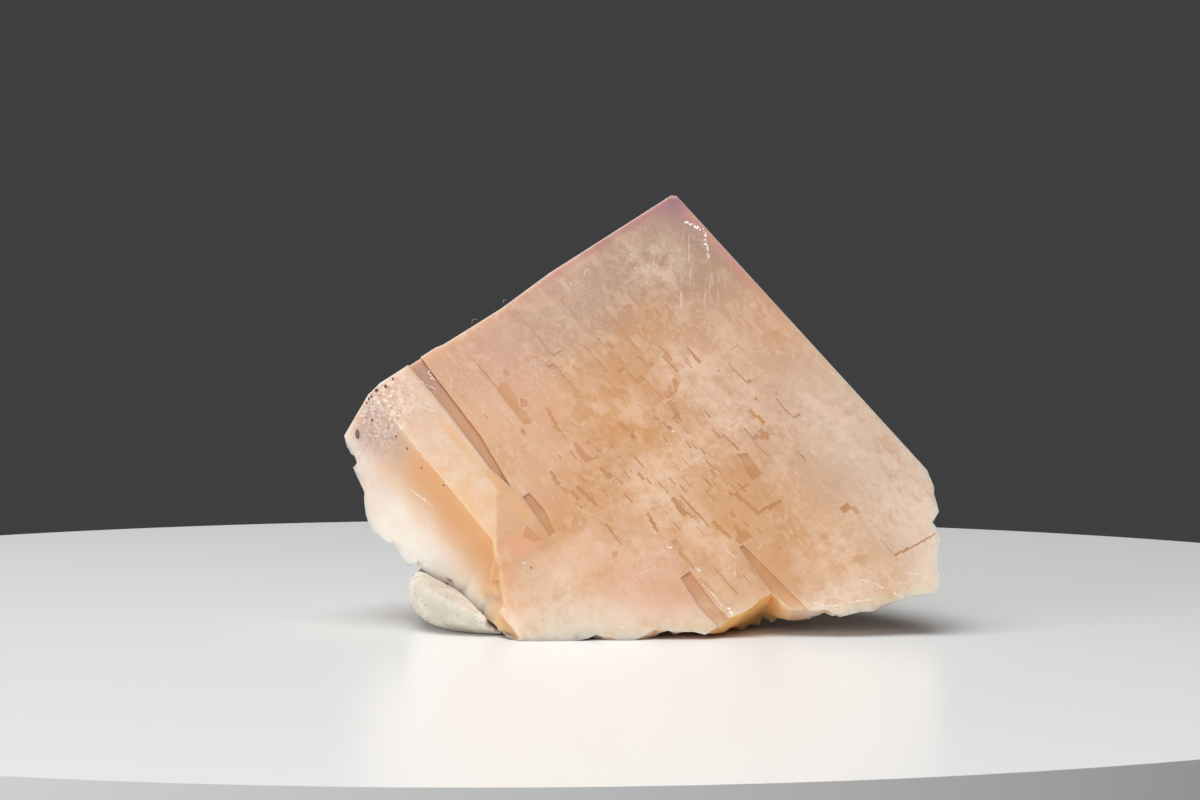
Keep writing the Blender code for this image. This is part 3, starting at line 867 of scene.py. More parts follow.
def seen_spot(tree, a, b):
    """Where the line of sight to (a, b) on the front plane meets the stone, with its normal."""
    sight = (at_cube(a, b) - CAMERA_AT).normalized()
    spot, normal, _, _ = tree.ray_cast(CAMERA_AT, sight)
    return spot, normal


def surface_tree(obj):
    bm = bmesh.new()
    bm.from_mesh(obj.data)
    found = bvhtree.BVHTree.FromBMesh(bm)
    bm.free()
    return found


def bake_modifiers(obj):
    """Turn an object's modifiers into plain mesh."""
    graph = bpy.context.evaluated_depsgraph_get()
    mesh = bpy.data.meshes.new_from_object(obj.evaluated_get(graph))
    obj.modifiers.clear()
    obj.data = mesh
    return mesh


def face_attribute(mesh, name, values):
    attribute = mesh.attributes.new(name, "FLOAT", "FACE")
    attribute.data.foreach_set("value", values)


def left_side(polygon, kind):
    """1 for the left face and for the broken strip that carries it on downwards."""
    place = in_cube(polygon.center)
    strip = place.x > LEFT_STRIP_FROM and place.z < -0.1
    turned_left = polygon.normal.dot(LEFT_FACE_OUTWARD) > 0.45 and strip
    return float(kind == LOWER_LEFT or (kind == BREAK and turned_left))


def crystal_piece(finish):
    """The fluorite: flat cube faces with their growth steps, and rough breaks."""
    bm = crystal_solid
    for face in bm.faces:
        face.material_index = kind_of(face)
    breaks = [face for face in bm.faces if face.material_index == BREAK]
    break_edges = list(dict.fromkeys(edge for face in breaks for edge in face.edges))
    bmesh.ops.subdivide_edges(bm, edges=break_edges, cuts=BREAK_CUTS, use_grid_fill=True)
    bm.normal_update()
    flat_edges = []
    for edge in bm.edges:
        beside = {face.material_index for face in edge.link_faces}
        if len(beside) == 1 and BREAK not in beside:
            flat_edges.append(edge)
    bmesh.ops.dissolve_limit(
        bm,
        angle_limit=FLAT_ANGLE,
        edges=flat_edges,
        verts=[],
        delimit={"MATERIAL"},
    )
    bm.normal_update()
    wide = [f for f in bm.faces if f.material_index == LOWER_LEFT and f.calc_area() > WIDE_FACE]
    for face in wide:
        fill_with_points(bm, face, LEFT_FACE_SPACING)
    roughen(bm)
    cut_pits(bm, front_pits())
    for face in bm.faces:
        place = in_cube(face.calc_center_median())
        sunk = WINDOW_LEVEL[0] < place.z < WINDOW_LEVEL[1]
        if face.material_index == FRONT and sunk and WINDOW_REACH[0] < place.x < WINDOW_REACH[1]:
            face.material_index = WINDOW
    bmesh.ops.triangulate(bm, faces=bm.faces)
    kinds = [face.material_index for face in bm.faces]
    crystal = object_of("fluorite_crystal", bm, [finish])
    mesh = crystal.data
    face_attribute(mesh, "window", [float(kind == WINDOW) for kind in kinds])
    face_attribute(mesh, "fracture", [float(kind == BREAK) for kind in kinds])
    face_attribute(mesh, "left_side", [left_side(p, k) for p, k in zip(mesh.polygons, kinds)])
    mesh.set_sharp_from_angle(angle=SHARP_ANGLE)
    for polygon, kind in zip(mesh.polygons, kinds):
        polygon.material_index = 0
        polygon.use_smooth = kind in (BREAK, LOWER_LEFT)
    return crystal


# --- shader building ---------------------------------------------------------------


def tone(red, green, blue):
    """A colour from its 0 to 255 values as a shader takes it."""
    def channel(value):
        share = value / 255
        return share / 12.92 if share <= 0.04045 else ((share + 0.055) / 1.055) ** 2.4
    return (channel(red), channel(green), channel(blue), 1.0)


def feed(tree, socket, value):
    """Set a socket, or link it where the value is another socket."""
    if isinstance(value, bpy.types.NodeSocket):
        tree.links.new(value, socket)
    else:
        socket.default_value = value


def operated(tree, kind, operation, values):
    """The outputs of a node of this kind that works on the values."""
    made = tree.nodes.new(kind)
    made.operation = operation
    for socket, value in zip(made.inputs, values):
        feed(tree, socket, value)
    return made.outputs


def math_node(tree, operation, *values):
    return operated(tree, "ShaderNodeMath", operation, values)[0]


def vector_node(tree, operation, *values):
    made = operated(tree, "ShaderNodeVectorMath", operation, values)
    return made["Value" if operation == "LENGTH" else "Vector"]


def ramp(tree, value, low, high, bottom=0.0, top=1.0):
    """Smoothly from bottom at low to top at high."""
    made = tree.nodes.new("ShaderNodeMapRange")
    made.interpolation_type = "SMOOTHSTEP"
    names = ("Value", "From Min", "From Max", "To Min", "To Max")
    for name, given in zip(names, (value, low, high, bottom, top)):
        feed(tree, made.inputs[name], given)
    return made.outputs["Result"]


def fade(tree, value, low, high):
    """Smoothly from 1 at low to 0 at high."""
    return ramp(tree, value, low, high, 1.0, 0.0)


def times(tree, *values):
    product = values[0]
    for value in values[1:]:
        product = math_node(tree, "MULTIPLY", product, value)
    return product


def most(tree, *values):
    largest = values[0]
    for value in values[1:]:
        largest = math_node(tree, "MAXIMUM", largest, value)
    return largest


def mixed_value(tree, mask, under, over):
    made = tree.nodes.new("ShaderNodeMix")
    made.data_type = "FLOAT"
    feed(tree, made.inputs[0], mask)
    feed(tree, made.inputs[2], under)
    feed(tree, made.inputs[3], over)
    return made.outputs[0]


def split(tree, vector):
    """The three parts of a vector."""
    made = tree.nodes.new("ShaderNodeSeparateXYZ")
    tree.links.new(vector, made.inputs[0])
    return made.outputs


def joined(tree, x, y, z):
    made = tree.nodes.new("ShaderNodeCombineXYZ")
    for socket, value in zip(made.inputs, (x, y, z)):
        feed(tree, socket, value)
    return made.outputs[0]


def box_mask(tree, *ranges):
    """1 inside every range (value, low, high, softness), falling to 0 just outside."""
    sides = []
    for value, low, high, soft in ranges:
        sides.append(ramp(tree, value, low - soft, low + soft))
        sides.append(fade(tree, value, high - soft, high + soft))
    return times(tree, *sides)


def mosaic(tree, a, b, scale, shift):
    """A random value, 0 to 1, for each of many small blocks aligned with the cube."""
    made = tree.nodes.new("ShaderNodeTexVoronoi")
    made.distance = "CHEBYCHEV"
    made.inputs["Scale"].default_value = scale
    made.inputs["Randomness"].default_value = 0.8
    long_a = math_node(tree, "ADD", a, shift)
    long_b = times(tree, b, 0.6)
    feed(tree, made.inputs["Vector"], joined(tree, long_a, long_b, shift))
    return split(tree, made.outputs["Color"])[0]


def blob(tree, place, centre, radii, soft=0.5):
    """1 inside an ellipsoid about a place in the stone, fading to 0 beyond it."""
    offset = vector_node(tree, "SUBTRACT", place, centre)
    scaled = vector_node(tree, "DIVIDE", offset, radii)
    return fade(tree, vector_node(tree, "LENGTH", scaled), 1.0 - soft, 1.0 + soft)


def cloud(tree, place, scale, detail=3.0, roughness=0.5, shift=0.0, stretch=(1, 1, 1)):
    """A noise pattern, 0 to 1, with the scale in cycles per millimetre."""
    mapping = tree.nodes.new("ShaderNodeMapping")
    feed(tree, mapping.inputs["Vector"], place)
    mapping.inputs["Location"].default_value = (shift, shift * 0.7, shift * 1.3)
    mapping.inputs["Scale"].default_value = stretch
    made = tree.nodes.new("ShaderNodeTexNoise")
    feed(tree, made.inputs["Scale"], scale)
    made.inputs["Detail"].default_value = detail
    made.inputs["Roughness"].default_value = roughness
    tree.links.new(mapping.outputs[0], made.inputs["Vector"])
    return made.outputs["Fac"]


def mixed(tree, mask, under, over):
    """The under colour where the mask is 0 and the over colour where it is 1."""
    made = tree.nodes.new("ShaderNodeMix")
    made.data_type = "RGBA"
    feed(tree, made.inputs[0], mask)
    feed(tree, made.inputs[6], under)
    feed(tree, made.inputs[7], over)
    return made.outputs[2]


def tinted(tree, colour, values, *masks):
    """The colour with a tone, given as 0 to 255 values, laid over it where the masks allow."""
    return mixed(tree, times(tree, *masks), colour, tone(*values))


def attribute(tree, name):
    made = tree.nodes.new("ShaderNodeAttribute")
    made.attribute_name = name
    return made.outputs["Fac"]


def object_place(tree):
    return tree.nodes.new("ShaderNodeTexCoord").outputs["Object"]


def cube_place(tree):
    """The place in the cube's axes, in millimetres, from the object coordinates."""
    mapping = tree.nodes.new("ShaderNodeMapping")
    mapping.inputs["Scale"].default_value = (1 / MM,) * 3
    mapping.inputs["Rotation"].default_value = TO_CUBE.to_euler()
    mapping.inputs["Location"].default_value = -(TO_CUBE @ CORNER) / MM
    tree.links.new(object_place(tree), mapping.inputs["Vector"])
    return mapping.outputs[0]


def millimetres(tree):
    """Object coordinates in millimetres."""
    return vector_node(tree, "MULTIPLY", object_place(tree), (1 / MM,) * 3)


def effect(name, inputs, output):
    """An empty shader group with its sockets: the group, its given values and its way out."""
    group = bpy.data.node_groups.new(name, "ShaderNodeTree")
    for label, kind in inputs:
        group.interface.new_socket(label, in_out="INPUT", socket_type=kind)
    group.interface.new_socket(output[0], in_out="OUTPUT", socket_type=output[1])
    given = group.nodes.new("NodeGroupInput").outputs
    return group, given, group.nodes.new("NodeGroupOutput").inputs[0]


def grouped(tree, group, **values):
    """The output of an effect, given its values by name."""
    made = tree.nodes.new("ShaderNodeGroup")
    made.node_tree = group
    for label, value in values.items():
        feed(tree, made.inputs[label], value)
    return made.outputs[0]


def drifting_tones():
    """A colour that drifts between a dark and a light tone from spot to spot."""
    inputs = (
        ("Place", "NodeSocketVector"),
        ("Fineness", "NodeSocketFloat"),
        ("Dark", "NodeSocketColor"),
        ("Light", "NodeSocketColor"),
    )
    group, given, out = effect("drifting_tones", inputs, ("Colour", "NodeSocketColor"))
    lighter = ramp(group, cloud(group, given["Place"], given["Fineness"], 3), 0.35, 0.65)
    feed(group, out, mixed(group, lighter, given["Dark"], given["Light"]))
    return group


def grainy_normal():
    """The normal of a fine grain: a height in metres and a fineness in waves per millimetre."""
    inputs = (
        ("Place", "NodeSocketVector"),
        ("Fineness", "NodeSocketFloat"),
        ("Extra", "NodeSocketFloat"),
        ("Height", "NodeSocketFloat"),
    )
    group, given, out = effect("grainy_normal", inputs, ("Normal", "NodeSocketVector"))
    bump = group.nodes.new("ShaderNodeBump")
    bump.inputs["Strength"].default_value = 0.4
    feed(group, bump.inputs["Distance"], given["Height"])
    grain = cloud(group, given["Place"], given["Fineness"], 5, 0.6)
    feed(group, bump.inputs["Height"], math_node(group, "ADD", grain, given["Extra"]))
    feed(group, out, bump.outputs[0])
    return group


def new_material(name, roughness, ior=PLAIN_IOR):
    made = bpy.data.materials.new(name)
    made.use_nodes = True
    shader = made.node_tree.nodes["Principled BSDF"]
    shader.inputs["Roughness"].default_value = roughness
    shader.inputs["IOR"].default_value = ior
    return made, made.node_tree, shader


def set_cloudiness(shader, weight, colours, reach):
    """How much of the light goes on inside, and how far each colour gets there."""
    shader.inputs["Subsurface Weight"].default_value = weight
    shader.inputs["Subsurface Radius"].default_value = colours
    shader.inputs["Subsurface Scale"].default_value = reach


# --- finishes ----------------------------------------------------------------------

DRIFTING_TONES = drifting_tones()
GRAINY_NORMAL = grainy_normal()


def peach_fluorite():
    """Frosted peach fluorite: pink haze outside, orange inside, purple at the corner."""
    material, tree, shader = new_material("peach_fluorite", 0.4, ior=FLUORITE_IOR)
    place = cube_place(tree)
    a, b, c = split(tree, place)
    window, fracture, left_side = (attribute(tree, n) for n in ("window", "fracture", "left_side"))
    deep = times(tree, c, -1.0)
    down = math_node(tree, "ADD", a, b)

    colour = face_colour(tree, place, a, b, c, down)
    colour = left_side_colour(tree, colour, place, b, deep, left_side)
    rough_break = math_node(tree, "SUBTRACT", fracture, times(tree, fracture, left_side))
    colour = break_colour(tree, colour, place, rough_break)
    colour = growth_zone(tree, colour, a, b, deep, down)

    # A frosted white crust over the lower left corner and along the lower right rim.
    frost = ramp(tree, cloud(tree, place, 0.7, 7, 0.65, shift=17), 0.3, 0.62, 0.25, 1.0)
    for centre, radii, strength in CRUSTS:
        crust = blob(tree, place, centre, radii, 0.7)
        colour = tinted(tree, colour, CRUST_WHITE, crust, frost, strength)

    # Crushed and frosted along the foot.
    height = times(tree, split(tree, object_place(tree))[2], 1 / MM)
    crumbs = ramp(tree, cloud(tree, place, 0.8, 6, 0.6, shift=11), 0.3, 0.7, 0.35, 1.0)
    foot = times(tree, fade(tree, height, 0.4, 6.0), crumbs, fade(tree, fracture, 0.0, 1.0), 0.8)
    colour = tinted(tree, colour, CRUMB, foot)

    # Clear patches and steps, where the frosted skin is missing.
    browns = ramp(tree, cloud(tree, place, 0.2, 3, shift=5), 0.35, 0.65)
    inside = mixed(tree, browns, tone(*CLEAR_BROWN), tone(*CLEAR_AMBER))
    skinless = ramp(tree, cloud(tree, place, 0.5, 4, shift=8), 0.3, 0.6, 0.55, 0.95)
    low = ramp(tree, down, 58.0, 70.0, 1.0, 0.45)
    colour = mixed(tree, times(tree, window, skinless, low), colour, inside)
    groove = box_mask(tree, *((value, *span) for value, span in zip((a, b, deep), GROOVE_FLOOR)))
    reddish = fade(tree, b, 1.0, 9.0)
    brown = mixed(tree, reddish, tone(*GROOVE_BROWN), tone(*GROOVE_RED))
    colour = mixed(tree, groove, colour, brown)
    feed(tree, shader.inputs["Base Color"], colour)

    rough = mixed_value(tree, window, mixed_value(tree, fracture, 0.42, 0.5), 0.27)
    feed(tree, shader.inputs["Roughness"], rough)
    coarse = times(tree, cloud(tree, place, 1.1, 5, shift=3), most(tree, fracture, left_side), 3.0)
    grain = grouped(
        tree, GRAINY_NORMAL, Place=place, Fineness=3.0, Extra=coarse, Height=STONE_GRAIN
    )
    feed(tree, shader.inputs["Normal"], grain)
    set_cloudiness(shader, CLOUDINESS, SCATTER_COLOURS, SCATTER_REACH)
    shader.inputs["Transmission Weight"].default_value = CLEARNESS
    return material


def face_colour(tree, place, a, b, c, down):
    """The cube faces: peach, greyer above as painted shade, warm in the middle, paler at the
    right.
    """
    wander = ramp(tree, cloud(tree, place, 0.11, 5), 0.38, 0.64)
    colour = mixed(tree, wander, tone(*PEACH), tone(*DEEP_PEACH))
    # Painted shade: greyer towards the top, standing for the dark backdrop seen through the stone.
    painted_shade = times(tree, fade(tree, down, 16.0, 42.0), fade(tree, b, 6.0, 24.0))
    colour = tinted(tree, colour, PAINTED_SHADE_GREY, painted_shade, 0.95)
    dusky = blob(tree, place, *DUSKY_TOP)
    colour = tinted(tree, colour, DUSKY_PINK, dusky, 0.7)
    pink_left = blob(tree, place, *PINK_LEFT)
    colour = tinted(tree, colour, SALMON, pink_left, 0.45)

    # Warm tan where less haze lies over the clear inside.
    for centre, radii, strength in WARM_ZONES:
        zone = blob(tree, place, (*centre, 0.0), (*radii, 6.0), 0.75)
        patchy = ramp(tree, cloud(tree, place, 0.3, 4, shift=centre[0]), 0.3, 0.7, 0.45, 1.0)
        colour = tinted(tree, colour, WARM_TAN, zone, patchy, strength)
    paler = times(tree, fade(tree, a, 4.0, 17.0), ramp(tree, b, 18.0, 34.0))
    colour = tinted(tree, colour, PALE_HAZE, paler, 0.8)
    tip = times(tree, fade(tree, a, 3.0, 12.0), ramp(tree, b, 38.0, 54.0))
    colour = tinted(tree, colour, FROSTED_TIP, tip, 0.8)
    dull_right = blob(tree, place, *DULL_RIGHT)
    colour = tinted(tree, colour, DULL_TAN, dull_right, 0.5)

    # The mosaic of growth blocks, each a touch lighter or darker than the next.
    for scale, strength, shift in MOSAIC_BLOCKS:
        block = mosaic(tree, a, b, scale, shift)
        where = ramp(tree, cloud(tree, place, 0.16, 3, shift=shift + 2), 0.42, 0.6)
        light = times(tree, ramp(tree, block, 0.5, 1.0), where, strength)
        dark = times(tree, fade(tree, block, 0.0, 0.4), where, strength)
        colour = tinted(tree, colour, LIGHT_BLOCK, light)
        colour = tinted(tree, colour, DARK_BLOCK, dark)

    # Faint growth lines along both edges' directions.
    for stretch, shift in (((1.0, 0.07, 1.0), 3.0), ((0.07, 1.0, 1.0), 8.0)):
        line = ramp(tree, cloud(tree, place, 2.4, 3, 0.5, shift=shift, stretch=stretch), 0.6, 0.7)
        where = ramp(tree, cloud(tree, place, 0.25, 3, shift=shift + 1), 0.45, 0.65)
        colour = tinted(tree, colour, GROWTH_LINE, line, where, 0.22)

    # Milky veils.
    swirls = cloud(tree, place, 0.28, 7, 0.68, shift=4, stretch=(1.0, 0.55, 1.0))
    colour = tinted(tree, colour, VEIL, ramp(tree, swirls, 0.5, 0.7), 0.42)
    wisps = ramp(tree, cloud(tree, place, 0.9, 6, 0.7, shift=7), 0.58, 0.75)
    colour = tinted(tree, colour, WISP, wisps, 0.35)
    for centre, radii in VEILS:
        milky = blob(tree, place, (*centre, 0.0), (*radii, 5.0), 0.8)
        torn = ramp(tree, cloud(tree, place, 0.7, 6, 0.65, shift=centre[1]), 0.35, 0.68)
        colour = tinted(tree, colour, MILK, milky, torn, 0.6)

    # Fine upright streaks of light in the haze near the corner.
    down_a, down_b = math.sin(STREAK_TURN), math.cos(STREAK_TURN)
    across = math_node(tree, "SUBTRACT", times(tree, a, down_b), times(tree, b, down_a))
    along = math_node(tree, "ADD", times(tree, a, down_a), times(tree, b, down_b))
    streak = cloud(tree, joined(tree, across, times(tree, along, 0.12), 0.0), 2.6, 3, 0.5)
    near_corner = blob(tree, place, *STREAKS_AT)
    lit = times(tree, ramp(tree, streak, 0.55, 0.72), near_corner, 0.35)
    colour = tinted(tree, colour, STREAK, lit)

    # The cream tread beside the groove, with amber bands and the pink blocks below it.
    return tread_colour(tree, colour, place, a, b, c)


def tread_colour(tree, colour, place, a, b, c):
    """The pale tread between the groove and the left face, and the ground at its foot."""
    near_plane = (c, -1.0, 1.0, 0.1)
    slant = math_node(tree, "SUBTRACT", b, times(tree, math_node(tree, "SUBTRACT", a, 39.8), 1.32))
    between = times(tree, ramp(tree, a, 38.3, 38.6), fade(tree, slant, 18.2, 19.0))
    tread = times(tree, between, ramp(tree, c, -0.6, -0.3))
    upper = mixed(tree, ramp(tree, b, 8.0, 18.0), tone(*TREAD_TOP), tone(*TREAD_LOW))
    upper = tinted(tree, upper, TREAD_END, fade(tree, b, 1.0, 6.0))
    clouded = ramp(tree, cloud(tree, place, 0.55, 6, 0.65, shift=12), 0.42, 0.66)
    upper = tinted(tree, upper, TREAD_CLOUD, clouded, 0.7)
    colour = mixed(tree, times(tree, tread, 0.9), colour, upper)
    for a_range, b_range, strength, tint in TREAD_PATCHES:
        patch = box_mask(tree, (a, *a_range), (b, *b_range), near_plane)
        colour = tinted(tree, colour, tint, patch, strength)
    light = box_mask(tree, (a, *PALE_FOOT[0]), (b, *PALE_FOOT[1]), near_plane)
    torn = ramp(tree, cloud(tree, place, 0.6, 6, 0.6, shift=21), 0.3, 0.6, 0.3, 1.0)
    colour = tinted(tree, colour, FOOT_PINK, light, torn, 0.55)
    rosy = blob(tree, place, *ROSY_FOOT)
    return tinted(tree, colour, ROSE, rosy, 0.5)


def left_side_colour(tree, colour, place, b, deep, left_side):
    """The left face: cream at its rim, an orange core under its upper edge."""
    creams = ramp(tree, cloud(tree, place, 0.3, 4, shift=2), 0.3, 0.7)
    cream = mixed(tree, creams, tone(*CREAM), tone(*LIGHT_CREAM))
    pinkish = fade(tree, b, 5.0, 14.0)
    cream = tinted(tree, cream, PINK_CREAM, pinkish, 0.6)
    colour = mixed(tree, left_side, colour, cream)
    wavy = times(tree, cloud(tree, place, 0.22, 4, shift=6), 3.0)
    reach = math_node(tree, "ADD", deep, wavy)
    grainy = ramp(tree, cloud(tree, place, 1.6, 7, 0.7, shift=14), 0.38, 0.62)
    colour = tinted(tree, colour, CREAM_GRAIN, left_side, grainy, 0.3)
    light_core = times(tree, fade(tree, reach, 4.5, 9.5), ramp(tree, b, 2.0, 8.0), left_side)
    colour = tinted(tree, colour, PALE_ORANGE, light_core, 0.8)
    core = times(tree, fade(tree, reach, 3.0, 6.8), ramp(tree, b, 4.0, 13.0), left_side)
    colour = tinted(tree, colour, ORANGE_CORE, core, 0.9)
    smoky = times(tree, blob(tree, place, *SMOKY_TIP), 0.8)
    blotchy = ramp(tree, cloud(tree, place, 0.8, 5, 0.6, shift=2), 0.3, 0.6, 0.5, 1.0)
    colour = tinted(tree, colour, SMOKE, smoky, blotchy)
    gritty = times(tree, blob(tree, place, *GRITTY_TIP), 0.7)
    white_grains = ramp(tree, cloud(tree, place, 2.2, 6, 0.7, shift=3), 0.5, 0.6)
    colour = tinted(tree, colour, WHITE_GRAIN, gritty, white_grains)
    grey_grains = fade(tree, cloud(tree, place, 2.6, 5, 0.7, shift=9), 0.38, 0.46)
    return tinted(tree, colour, GREY_GRAIN, gritty, grey_grains)


def break_colour(tree, colour, place, fracture):
    """Breaks: paler and crystalline, with the thin underside's orange brightened into a painted
    glow of light through the stone.
    """
    frost = ramp(tree, cloud(tree, place, 0.6, 6, 0.6, shift=6), 0.35, 0.65)
    frosted = mixed(tree, frost, tone(*BREAK_PINK), tone(*BREAK_WHITE))
    colour = mixed(tree, times(tree, fracture, 0.7), colour, frosted)
    # Painted glow: the underside brighter orange, as if light came through the thin stone.
    painted_glow = times(tree, blob(tree, place, *PAINTED_GLOW_BELOW), fracture)
    return tinted(tree, colour, PAINTED_GLOW_ORANGE, painted_glow, 0.85)


def growth_zone(tree, colour, a, b, deep, down):
    """The last growth next to the faces: purple at the corner, pink along the edges."""
    upper_edge = times(tree, fade(tree, b, 0.1, 1.3), fade(tree, a, 7.0, 32.0), 0.75)
    tip = fade(tree, math_node(tree, "ADD", down, times(tree, deep, 0.3)), 1.2, 6.5)
    glow = times(tree, fade(tree, down, 2.0, 13.0), 0.55)
    colour = tinted(tree, colour, CORNER_GLOW, glow)
    colour = tinted(tree, colour, CORNER_PURPLE, most(tree, upper_edge, times(tree, tip, 0.9)))
    right_rim = times(
        tree, fade(tree, a, 0.2, 1.5), fade(tree, b, 4.0, 30.0), ramp(tree, b, 1.0, 4.0)
    )
    colour = tinted(tree, colour, RIM_PINK, right_rim, 0.75)
    left_rim = times(tree, fade(tree, b, 0.1, 0.9), ramp(tree, a, 12.0, 20.0), 0.35)
    return tinted(tree, colour, LEFT_RIM_PINK, left_rim)


def cream_putty():
    material, tree, shader = new_material("cream_putty", 0.75)
    place = millimetres(tree)
    dark, light = tone(*PUTTY_DARK), tone(*PUTTY_LIGHT)
    colour = grouped(tree, DRIFTING_TONES, Place=place, Fineness=0.25, Dark=dark, Light=light)
    grit = tree.nodes.new("ShaderNodeTexVoronoi")
    grit.inputs["Scale"].default_value = 1.6
    tree.links.new(place, grit.inputs["Vector"])
    dot = fade(tree, grit.outputs["Distance"], 0.08, 0.16)
    gritty = ramp(tree, cloud(tree, place, 0.8, 3, shift=5), 0.42, 0.56)
    colour = tinted(tree, colour, PUTTY_SPECK, dot, gritty)
    feed(tree, shader.inputs["Base Color"], colour)
    grain = grouped(tree, GRAINY_NORMAL, Place=place, Fineness=1.5, Height=PUTTY_GRAIN)
    feed(tree, shader.inputs["Normal"], grain)
    set_cloudiness(shader, PUTTY_CLOUDINESS, PUTTY_SCATTER, PUTTY_SCATTER_REACH)
    return material


# --- the putty ---------------------------------------------------------------------


def putty_piece(finish):
    putty = object_of("putty_lump", solid_of("putty_blob"), [finish])
    remesh = putty.modifiers.new("even", "REMESH")
    remesh.mode = "VOXEL"
    remesh.voxel_size = PUTTY_SPACING
    smooth = putty.modifiers.new("soft", "SMOOTH")
    smooth.factor, smooth.iterations = PUTTY_SOFTENING
    mesh = bake_modifiers(putty)
    for vert in mesh.vertices:
        dent = noise.noise(vert.co * 160) * PUTTY_DENT + noise.noise(vert.co * 900) * PUTTY_PIMPLE
        lift = min(1.0, vert.co.z / PUTTY_FOOT)
        vert.co += vert.normal * dent * lift
        vert.co.z = max(vert.co.z, 0.0)
    mesh.shade_smooth()
    return putty


# --- bits on the surface -----------------------------------------------------------


def shard(bm, spot, normal, size, rise, rng):
    """A flat splinter half sunk in the surface: crushed crystal in a bruise, and a painted glint
    in the marks at the corner.
    """
    side = normal.orthogonal().normalized()
    angle = rng.uniform(0.0, math.tau)
    long = side * math.cos(angle) + normal.cross(side) * math.sin(angle)
    broad = normal.cross(long)
    reach = [rng.uniform(0.6, 1.3) * size for _ in range(4)]
    ring = [
        bm.verts.new(point)
        for point in (
            spot + long * reach[0],
            spot + broad * reach[1] * 0.6,
            spot - long * reach[2],
            spot - broad * reach[3] * 0.6,
        )
    ]
    top = bm.verts.new(spot + normal * rise * rng.uniform(0.5, 1.2))
    bottom = bm.verts.new(spot - normal * rise)
    for i in range(4):
        j = (i + 1) % 4
        bm.faces.new((ring[i], ring[j], top))
        bm.faces.new((ring[j], ring[i], bottom))


def bruises_and_glints_piece(stone, finish):
    """White marks, each a string of splinters along its path: bruises, and painted glints at the
    corner.
    """
    rng = random.Random(SEED + 2)
    bm = bmesh.new()
    for width, path in BRUISES_AND_GLINTS:
        for start, end in zip(path, path[1:]):
            count = max(2, round(math.dist(start, end) / (width * 0.4)))
            for i in range(count):
                share = (i + rng.random()) / count
                a = start[0] + (end[0] - start[0]) * share + rng.gauss(0.0, 0.25) * width
                b = start[1] + (end[1] - start[1]) * share + rng.gauss(0.0, 0.25) * width
                spot, normal = seen_spot(stone, a, b)
                if spot:
                    shard(bm, spot, normal, width * rng.uniform(0.25, 0.6) * MM, BRUISE_AND_GLINT_RISE, rng)
    return object_of("white_bruises", bm, [finish])


def grains_piece(stone, finish):
    """Small dark mineral grains, each sunk halfway into the stone."""
    rng = random.Random(SEED + 3)
    bm = bmesh.new()
    for a, b, length, width in DARK_GRAINS:
        spot, normal = seen_spot(stone, a, b)
        if spot:
            made = bmesh.ops.create_icosphere(bm, subdivisions=2, radius=0.5 * MM)["verts"]
            turn = normal.to_track_quat("Z", "Y").to_matrix()
            shift = rng.uniform(0, 50)
            for vert in made:
                lump = 1.0 + 0.35 * noise.noise(vert.co * 2600 + Vector((shift, 0, 0)))
                x, y, z = vert.co
                local = Vector((x * width, y * length, z * width * 0.7)) * lump
                vert.co = spot + turn @ local
    return object_of("dark_grains", bm, [finish])


def fibres_piece(finish):
    """Stray fibres standing off the upper left edge."""
    bm = bmesh.new()
    for along, reach, curl in FIBRES:
        rings = []
        for i in range(FIBRE_STEPS + 1):
            share = i / FIBRE_STEPS
            lift = math.sin(share * math.pi) * reach
            middle = at_cube(along - share * curl, -lift * 0.8, lift * 0.5 - 0.02)
            around = [A_AXIS.cross(C_AXIS), C_AXIS, -A_AXIS.cross(C_AXIS), -C_AXIS]
            places = [middle + way.normalized() * FIBRE_RADIUS for way in around]
            rings.append([bm.verts.new(place) for place in places])
        bm.faces.new(rings[0])
        bm.faces.new(reversed(rings[-1]))
        for near, far in zip(rings, rings[1:]):
            for i in range(4):
                j = (i + 1) % 4
                bm.faces.new((near[i], far[i], far[j], near[j]))
    bmesh.ops.recalc_face_normals(bm, faces=bm.faces)
    return object_of("stray_fibres", bm, [finish])


